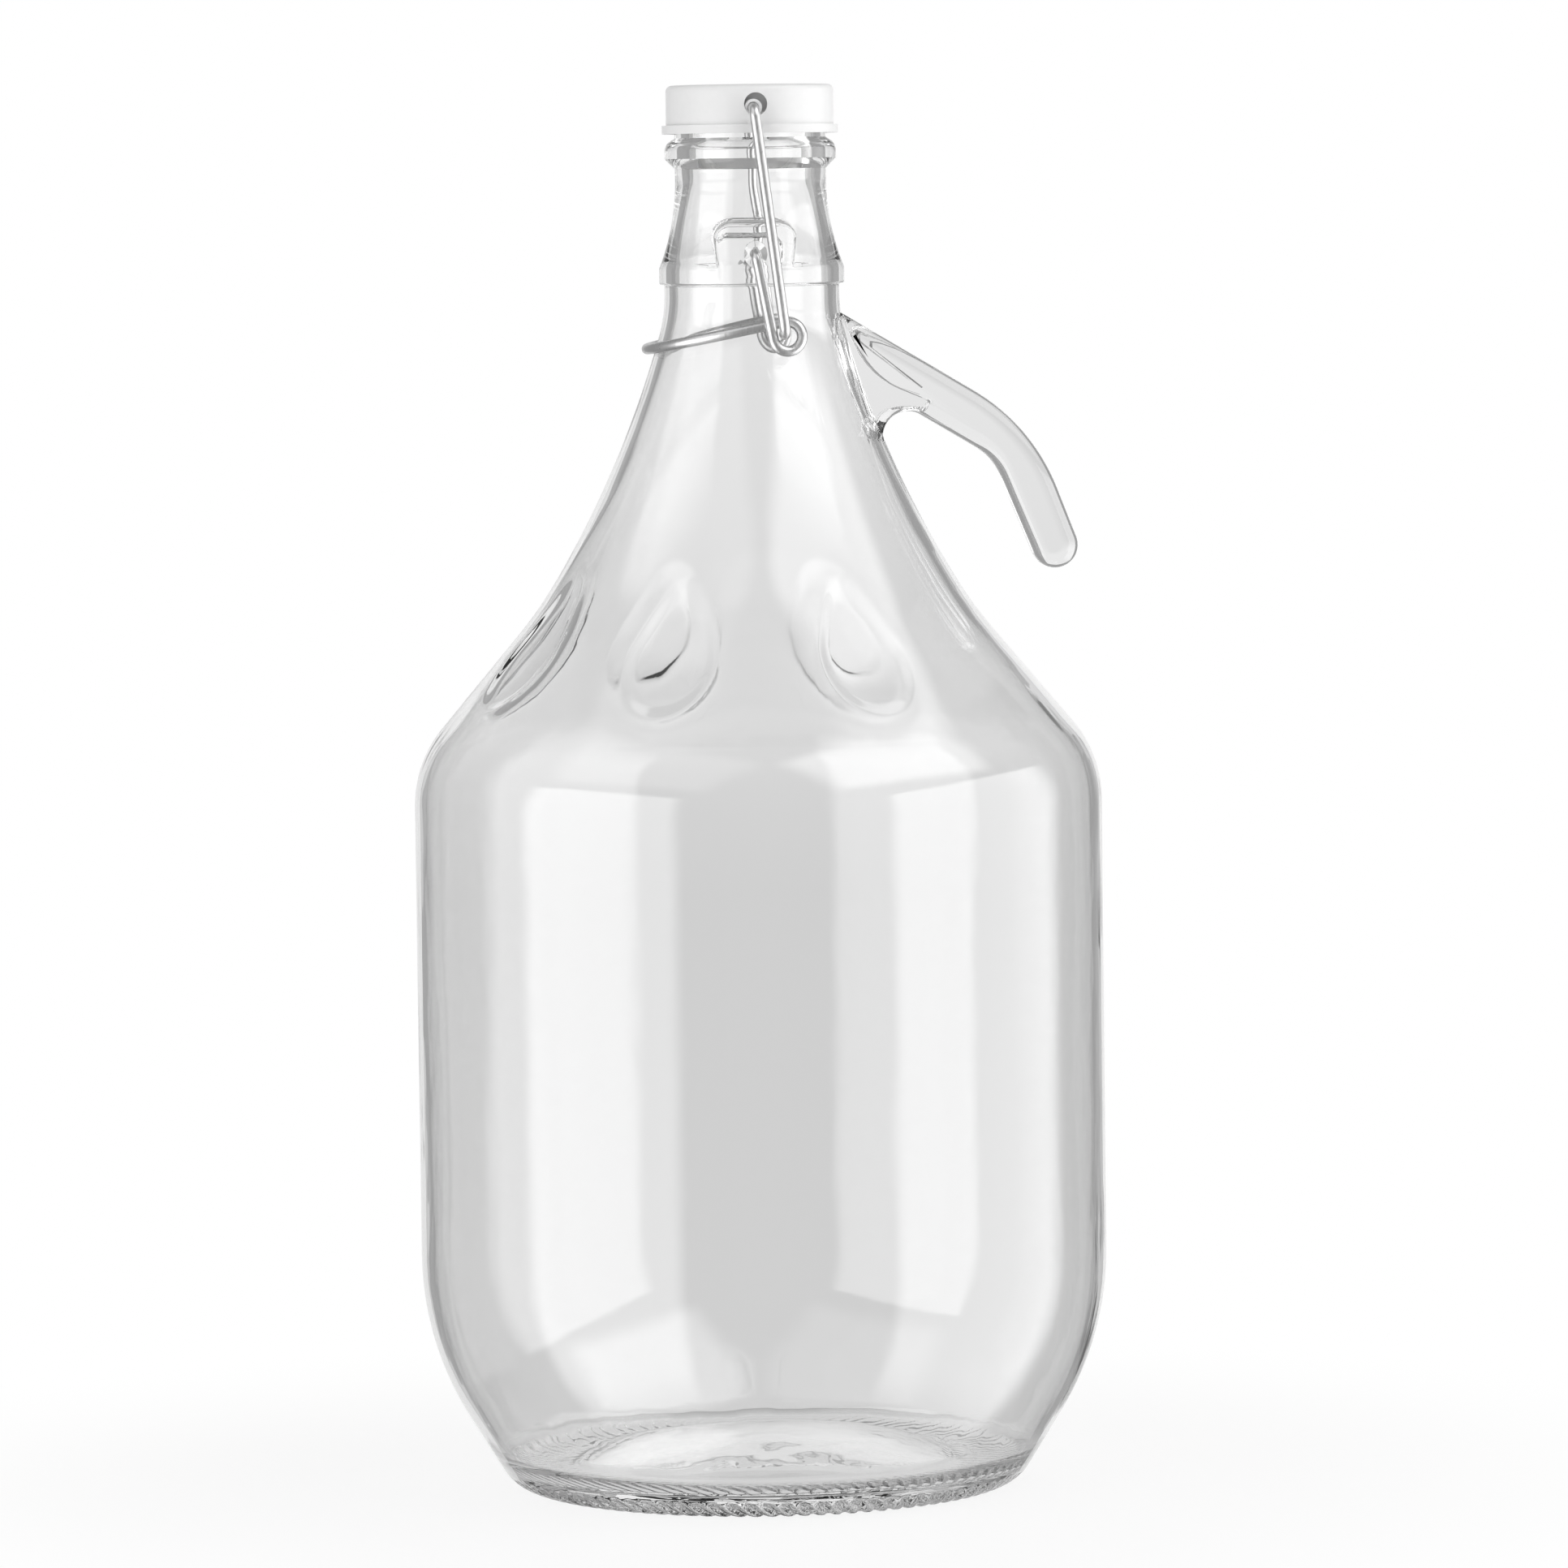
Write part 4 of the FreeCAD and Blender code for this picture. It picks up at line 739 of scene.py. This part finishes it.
def handle_outline():
    """Side view of the hook: upper edge, bend, tip, inner edge and crotch."""
    sizes = settings("bottle_handle")
    neck = settings("bottle_glass").neck_diameter / 2
    fine = 1.2 * MM
    tip_v = LIP_HEIGHT - sizes.tip_below_lip
    root_u = neck - sizes.root_inset
    root_v = LIP_HEIGHT - sizes.root_below_lip
    setback = sizes.bend * math.tan((sizes.drop - sizes.slope) / 2)
    upper = meeting(root_u, root_v, sizes.slope, sizes.reach, tip_v, sizes.drop)
    corner_u = root_u + upper * math.cos(sizes.slope)
    lower = (sizes.reach - corner_u) / math.cos(sizes.drop)
    pen = Outline(root_u, root_v, -sizes.slope)
    pen.line(upper - setback, fine)
    pen.arc(sizes.bend, sizes.slope - sizes.drop, fine)
    pen.line(lower - setback, fine)
    pen.arc(sizes.tip, -math.pi + sizes.drop - sizes.inner_drop, 0.8 * MM)
    inner_setback = sizes.inner_bend * math.tan((sizes.inner_drop - sizes.slope) / 2)
    crotch = sizes.crotch_round
    crotch_u = neck + sizes.crotch_out
    crotch_v = LIP_HEIGHT - sizes.crotch_below_lip
    touch_u = crotch_u + crotch + crotch * math.sin(sizes.slope)
    touch_v = crotch_v + crotch * math.cos(sizes.slope)
    across = meeting(touch_u, touch_v, sizes.slope, pen.u, pen.v, sizes.inner_drop)
    inner_u = touch_u + across * math.cos(sizes.slope)
    hang = (pen.u - inner_u) / math.cos(sizes.inner_drop)
    pen.line(hang - inner_setback, fine)
    pen.arc(sizes.inner_bend, sizes.inner_drop - sizes.slope, fine)
    pen.line(across - inner_setback, fine)
    pen.arc(crotch, math.pi / 2 + sizes.slope, 0.8 * MM)
    pen.line(sizes.crotch_run, fine)
    pen.line(crotch_u - root_u, fine, turn=-math.pi / 2)
    pen.line(root_v - pen.v, fine, turn=-math.pi / 2)
    return pen


def pocket_outline():
    """Outline of the hollow between the two legs of the handle's root."""
    sizes = settings("bottle_handle")
    inside = settings("bottle_glass").neck_diameter / 2 - sizes.root_inset
    fine = 0.6 * MM
    top_run = 3.5 * MM
    upper_leg, upper_fall = 9.0 * MM, math.radians(65)
    sweep, sweep_turn = 22.0 * MM, math.radians(42)
    to_nose = 7.0 * MM
    nose, nose_turn = 0.9 * MM, math.radians(157)
    lower_curve, lower_turn = 6.0 * MM, math.radians(75)
    lower_leg = 4.0 * MM
    pen = Outline(inside, LIP_HEIGHT - sizes.pocket_below_lip, 0.0)
    pen.line(top_run, fine)
    pen.line(upper_leg, fine, turn=-upper_fall)
    pen.arc(sweep, sweep_turn, fine)
    pen.line(to_nose, fine)
    pen.arc(nose, -nose_turn, 0.3 * MM)
    pen.line(to_nose, fine)
    pen.arc(lower_curve, lower_turn, fine)
    pen.line(lower_leg, fine)
    pen.line(pen.u - inside, fine, turn=math.pi - pen.heading)
    return pen


def handle_block():
    """The solid hook with rounded edges and a hollow in each side of its root."""
    sizes = settings("bottle_handle")
    half = sizes.width / 2
    mesh = plate(handle_outline().points()[:-1], half)
    neck = settings("bottle_glass").neck_diameter / 2
    crotch = LIP_HEIGHT - sizes.crotch_below_lip
    rims = []
    for edge in mesh.edges:
        a, b = (vert.co for vert in edge.verts)
        on_side = abs(abs(a.y) - half) < WELD and abs(a.y - b.y) < WELD
        middle = (a + b) / 2
        root = middle.x < neck or (middle.z < crotch and middle.x < sizes.reach / 2)
        if on_side and not root:
            rims.append(edge)
    bmesh.ops.bevel(mesh, geom=rims, offset=sizes.edge, affect="EDGES", segments=6,
                    profile=0.5, material=-1)
    flats = [face for face in mesh.faces if abs(face.normal.y) > 0.9999 and len(face.verts) > 8]
    bmesh.ops.inset_region(mesh, faces=flats, thickness=0.3 * MM, depth=0.0)
    handle = to_object(mesh, "handle_block")
    for side in (-1, 1):
        cutter = plate(pocket_outline().points()[:-1], half)
        shift = side * (sizes.width - sizes.pocket_depth)
        bmesh.ops.translate(cutter, verts=cutter.verts, vec=(0, shift, 0))
        combine(handle, to_object(cutter, "root_pocket"), "DIFFERENCE")
    mesh = bmesh.new()
    mesh.from_mesh(handle.data)
    bmesh.ops.bevel(mesh, geom=pocket_rims(mesh, half), offset=sizes.pocket_rim,
                    affect="EDGES", segments=4, profile=0.5, material=-1)
    mesh.to_mesh(handle.data)
    mesh.free()
    return handle


def pocket_rims(mesh, half):
    """Sharp edges round the root's hollows, on the flat sides of the handle."""
    sizes = settings("bottle_handle")
    low = LIP_HEIGHT - sizes.crotch_below_lip
    inside = settings("bottle_glass").neck_diameter / 2 - sizes.root_inset
    near = 10 * WELD
    rims = []
    for edge in mesh.edges:
        if len(edge.link_faces) != 2 or edge.calc_face_angle() < math.radians(60):
            continue
        a, b = (vert.co for vert in edge.verts)
        off_side = min(abs(abs(a.y) - half), abs(abs(b.y) - half))
        on_side = off_side < near and abs(a.y - b.y) < near
        if on_side and min(a.x, b.x) > inside + 0.5 * MM and min(a.z, b.z) > low:
            rims.append(edge)
    return rims


def glass_material(name):
    """Clear soda-lime glass with the slow ripples that moulding leaves."""
    material, net = new_material(name)
    net.put("Base Color", (*settings("bottle_looks").glass, 1.0))
    net.put("Transmission Weight", 1.0)
    net.put("Roughness", 0.0)
    net.put("IOR", 1.5)
    ripple = net.grain((60.0, 60.0, 22.0), 2.0)
    net.bump(ripple, 0.05, 2 * MM)
    return material


class BOTTLE_OT_glass(Operator):
    """Model the glass with its dimples, lugs, knurled ring and handle"""

    bl_idname = "bottle.glass"
    bl_label = "Glass"

    def execute(self, context):
        sizes = settings("bottle_glass")
        outside = outside_outline(sizes)
        mesh = turned(outside.points(), sizes.segments)
        press_dimples(mesh, radius_table(outside, sizes), grow=0.0, soft=0.15 * MM,
                      rim=0.8 * MM, step=0.4 * MM, cuts=2)
        press_knurls(mesh)
        raise_lugs(mesh)
        glass = to_object(mesh, "glass_bottle")
        combine(glass, handle_block(), "UNION")
        inside = inside_outline(sizes)
        mesh = turned(inside.points(), sizes.bore_segments)
        press_dimples(mesh, radius_table(inside, sizes), grow=sizes.wall, soft=1.0 * MM,
                      rim=1.5 * MM, step=0.0, cuts=1)
        wave_bore(mesh)
        combine(glass, to_object(mesh, "glass_bore"), "DIFFERENCE")
        for side in (-1, 1):
            combine(glass, pivot_cutter(side), "DIFFERENCE")
        glass.data.shade_smooth()
        glass.data.set_sharp_from_angle(angle=math.radians(38))
        glass.data.materials.clear()
        glass.data.materials.append(glass_material("clear_glass"))
        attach(glass, "bottle")
        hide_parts("bottle")
        return {"FINISHED"}


# ---------------------------------------------------------------- closure


def paint(node, material):
    """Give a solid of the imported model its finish."""
    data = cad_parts[node].data
    data.materials.clear()
    data.materials.append(material)


def tube_end(side, name):
    """End of the tube that carries the bail's pin, just inside the cap's window."""
    pin = LIP_HEIGHT + 4.1 * MM
    outer, inner = 2.3 * MM, 1.5 * MM
    start, end = 18.2 * MM, 21.2 * MM
    collar, collar_end = 4.4 * MM, 18.9 * MM
    soft, soft_middle = 0.3 * MM, 0.1 * MM
    mesh = turned([(inner, start), (collar, start), (collar, collar_end), (outer, collar_end),
                   (outer, end - soft), (outer - soft_middle, end - soft_middle),
                   (outer - soft, end), (inner, end)], ROUND_STEPS, ring=True)
    lay_across(mesh, side, pin)
    return to_object(mesh, name, math.radians(40))


class BOTTLE_OT_wires(Operator):
    """Finish the lever and the bail in drawn steel"""

    bl_idname = "bottle.wires"
    bl_label = "Wires"

    def execute(self, context):
        steel = grained_material("drawn_steel", settings("bottle_looks").steel, metallic=1.0,
                                 roughness=(0.26, 0.38), darkest=0.88,
                                 grain=(2500, 2500, 160), depth=0.02 * MM)
        paint("lever", steel)
        paint("bail", steel)
        return {"FINISHED"}


class BOTTLE_OT_cap(Operator):
    """Finish the cap and add the ends of its tube, which show in its windows"""

    bl_idname = "bottle.cap"
    bl_label = "Cap"

    def execute(self, context):
        white = grained_material("moulded_white", settings("bottle_looks").cap, metallic=0.0,
                                 roughness=(0.3, 0.4), darkest=0.98,
                                 grain=(500, 500, 500), depth=0.004 * MM)
        paint("cap", white)
        for side, name in ((-1, "front_tube_end"), (1, "back_tube_end")):
            ring = tube_end(side, name)
            ring.data.materials.append(white)
            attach(ring, "cap")
        return {"FINISHED"}


class BOTTLE_OT_seal(Operator):
    """Finish the rubber ring between the cap and the lip"""

    bl_idname = "bottle.seal"
    bl_label = "Seal"

    def execute(self, context):
        rubber = grained_material("pale_rubber", settings("bottle_looks").seal, metallic=0.0,
                                  roughness=(0.55, 0.7), darkest=0.93,
                                  grain=(1600, 1600, 1600), depth=0.02 * MM)
        paint("gasket", rubber)
        return {"FINISHED"}


# ---------------------------------------------------------------- stage


def pale_surface(name):
    """A plain pale material, its net and the kind of ray that meets it."""
    material, net = new_material(name)
    net.put("Base Color", (0.85, 0.85, 0.85, 1.0))
    net.put("Roughness", 0.8)
    return material, net, net.nodes.new("ShaderNodeLightPath").outputs


def show(net, level, share, clear):
    """Let a pale surface shine at a level for a share of the rays, and let some pass."""
    light = net.nodes.new("ShaderNodeEmission")
    net.put("Strength", level, light)
    surface = net.mix(share, net.shader.outputs[0], light.outputs[0])
    nothing = net.nodes.new("ShaderNodeBsdfTransparent").outputs[0]
    net.put("Surface", net.mix(clear, surface, nothing), net.nodes["Material Output"])


def backdrop_material(foot, top):
    """White to the eye, and through the glass brighter from its foot upwards.

    The camera looks through it at the white room, so it hides nothing from behind.
    """
    material, net, ray = pale_surface("pale_backdrop")
    foot_height, top_height = 0.05, 0.3
    parts = net.nodes.new("ShaderNodeSeparateXYZ")
    net.put(0, net.place(), parts)
    climb = net.remap(parts.outputs["Z"], (foot_height, top_height), (foot, top))
    level = net.math("MULTIPLY", ray["Is Transmission Ray"], climb)
    show(net, level, net.math("GREATER_THAN", level, 0.001), ray["Is Camera Ray"])
    return material


def table_material(through):
    """White to the eye, and at a level of its own through the glass.

    A share of it is lit by the lamps near the middle, so that it keeps the bottle's shadow.
    Mirrored rays pass, and refracted ones do outside the bottle's foot, so that the softboxes
    show in full. Refracted rays count as glossy too, hence the difference.
    """
    material, net, ray = pale_surface("pale_table")
    lit_share = 0.12
    fade = (0.12, 0.3)
    foot = (0.075, 0.09)
    reach = net.nodes.new("ShaderNodeVectorMath")
    reach.operation = "LENGTH"
    net.put(0, net.place(), reach)
    out = reach.outputs["Value"]
    level = net.math("MAXIMUM", net.math("MULTIPLY", ray["Is Transmission Ray"], through),
                     ray["Is Camera Ray"])
    share = net.math("MULTIPLY", net.math("GREATER_THAN", level, 0.001),
                     net.remap(out, fade, (1.0 - lit_share, 1.0), smooth=True))
    refracted = net.math("MULTIPLY", ray["Is Transmission Ray"], net.remap(out, foot))
    mirrored = net.math("SUBTRACT", ray["Is Glossy Ray"], ray["Is Transmission Ray"])
    show(net, level, share, net.math("MAXIMUM", refracted, mirrored))
    return material


def soft_lamp(name, distance, low, high, spread, level, soft_sides, soft_ends):
    """A softbox, even in its middle and fading towards its edges.

    low and high are its lower and upper edge, spread is its width as seen from the bottle,
    and the soft parts give where the even middle starts and ends, as shares of its size.
    """
    data = bpy.data.lights.new(name, "AREA")
    data.shape = "RECTANGLE"
    data.size = 2 * distance * math.tan(spread / 2)
    data.size_y = high - low
    data.energy = level * math.pi * data.size * data.size_y
    net = Net(data, "Emission")
    across = net.nodes.new("ShaderNodeNewGeometry")
    parts = net.nodes.new("ShaderNodeSeparateXYZ")
    net.put(0, across.outputs["Parametric"], parts)
    share = 1.0
    for output, (first, last) in (("X", soft_sides), ("Y", soft_ends)):
        for ramp in ((0.0, first), (1.0, last)):
            edge = net.remap(parts.outputs[output], ramp, smooth=True)
            share = net.math("MULTIPLY", share, edge)
    net.put("Strength", share)
    lamp = bpy.data.objects.new(name, data)
    bpy.context.scene.collection.objects.link(lamp)
    return lamp


def stand_lamp(lamp, angle, distance, middle, aim):
    """Put a lamp at an angle round the bottle, turned towards a height on its axis."""
    place = Vector((distance * math.sin(angle), -distance * math.cos(angle), middle))
    lamp.location = place
    lamp.rotation_euler = (Vector((0, 0, aim)) - place).to_track_quat("-Z", "Y").to_euler()


class BOTTLE_OT_stage(Operator):
    """Set up the camera, the lamps, the pale table and the backdrop"""

    bl_idname = "bottle.stage"
    bl_label = "Stage"

    def execute(self, context):
        stage = settings("bottle_stage")
        scene = context.scene
        scene.view_settings.view_transform = "Standard"
        scene.cycles.max_bounces = 32
        scene.cycles.transmission_bounces = 32
        scene.cycles.glossy_bounces = 16
        self.camera(scene, stage)
        self.surfaces(stage)
        self.lamps(stage)
        self.room(scene, stage)
        return {"FINISHED"}

    def camera(self, scene, stage):
        """Put the camera in front of the bottle."""
        data = bpy.data.cameras.new("camera")
        data.lens = stage.camera_lens
        data.sensor_width = 36.0
        data.clip_end = 50
        camera = bpy.data.objects.new("camera", data)
        scene.collection.objects.link(camera)
        azimuth = stage.camera_azimuth
        camera.location = (stage.camera_distance * math.sin(azimuth),
                           -stage.camera_distance * math.cos(azimuth), stage.camera_height)
        turn = (Matrix.Rotation(azimuth - stage.camera_pan, 4, "Z")
                @ Matrix.Rotation(math.pi / 2 - stage.camera_tilt, 4, "X")
                @ Matrix.Rotation(stage.camera_roll, 4, "Z"))
        camera.rotation_euler = turn.to_euler()
        scene.camera = camera

    def surfaces(self, stage):
        """Lay the round table and stand the backdrop behind it."""
        table = bmesh.new()
        bmesh.ops.create_circle(table, cap_ends=True, segments=96, radius=stage.table_radius)
        table = to_object(table, "table")
        table.data.materials.append(table_material(stage.backdrop_level))
        width, height, behind, middle = 1.1, 1.5, 1.3, 0.2
        backdrop = bmesh.new()
        bmesh.ops.create_grid(backdrop, x_segments=1, y_segments=1, size=0.5)
        bmesh.ops.scale(backdrop, verts=backdrop.verts, vec=(width, height, 1.0))
        bmesh.ops.rotate(backdrop, verts=backdrop.verts, cent=(0, 0, 0),
                         matrix=Matrix.Rotation(math.pi / 2, 3, "X"))
        bmesh.ops.translate(backdrop, verts=backdrop.verts, vec=(0, behind, middle))
        backdrop = to_object(backdrop, "backdrop")
        backdrop.data.materials.append(
            backdrop_material(stage.backdrop_level, stage.backdrop_top))

    def lamps(self, stage):
        """Two tall softboxes at the sides and two tilted ones over them."""
        distance, low, high = 1.6, -2.4, stage.softbox_top
        middle = (high + low) / 2
        for name, angle, spread, soft_sides in (
                ("left_softbox", -58, 62, (0.12, 0.88)), ("right_softbox", 79, 78, (0.1, 0.8))):
            lamp = soft_lamp(name, distance, low, high, math.radians(spread),
                             stage.softbox_level, soft_sides, soft_ends=(0.45, 0.98))
            stand_lamp(lamp, math.radians(angle), distance, middle, middle)
        for name, angle, share in (
                ("upper_right_softbox", 58, 1.0), ("upper_left_softbox", -52, 0.35)):
            lamp = soft_lamp(name, 1.9, 0.0, 1.5, math.radians(66), stage.top_level * share,
                             soft_sides=(0.2, 0.8), soft_ends=(0.2, 0.8))
            stand_lamp(lamp, math.radians(angle), distance=1.25, middle=1.6, aim=0.25)

    def room(self, scene, stage):
        """White to the eye, grey as light, and a little darker through the glass."""
        world = bpy.data.worlds.new("studio")
        scene.world = world
        net = Net(world, "Background")
        ray = net.nodes.new("ShaderNodeLightPath").outputs
        darker = net.math("MULTIPLY", ray["Is Transmission Ray"],
                          stage.room_level - stage.dark_level)
        level = net.math("SUBTRACT", stage.room_level, darker)
        net.put("Strength", net.math("MAXIMUM", ray["Is Camera Ray"], level))
        net.put("Color", (1, 1, 1, 1))


class BOTTLE_PT_panel(Panel):
    """Sidebar panel that lists the steps of the model"""

    bl_label = "Swing-top bottle"
    bl_idname = "BOTTLE_PT_panel"
    bl_space_type = "VIEW_3D"
    bl_region_type = "UI"
    bl_category = "Bottle"

    def draw(self, context):
        for step in STEPS:
            self.layout.operator(step)


STEPS = ("bottle.glass", "bottle.wires", "bottle.cap", "bottle.seal", "bottle.stage")
GROUPS = {
    "bottle_glass": GlassSizes,
    "bottle_relief": ReliefSizes,
    "bottle_handle": HandleSizes,
    "bottle_stage": StageSettings,
    "bottle_looks": Looks,
}
CLASSES = (*GROUPS.values(), BOTTLE_OT_glass, BOTTLE_OT_wires, BOTTLE_OT_cap, BOTTLE_OT_seal,
           BOTTLE_OT_stage, BOTTLE_PT_panel)


def register():
    for item in CLASSES:
        bpy.utils.register_class(item)
    for name, group in GROUPS.items():
        setattr(bpy.types.Scene, name, PointerProperty(type=group))


def unregister():
    for name in GROUPS:
        delattr(bpy.types.Scene, name)
    for item in reversed(CLASSES):
        bpy.utils.unregister_class(item)


def main():
    """Build every piece."""
    register()
    for step in STEPS:
        group, name = step.split(".")
        getattr(getattr(bpy.ops, group), name)()


if __name__ == "__main__":
    main()
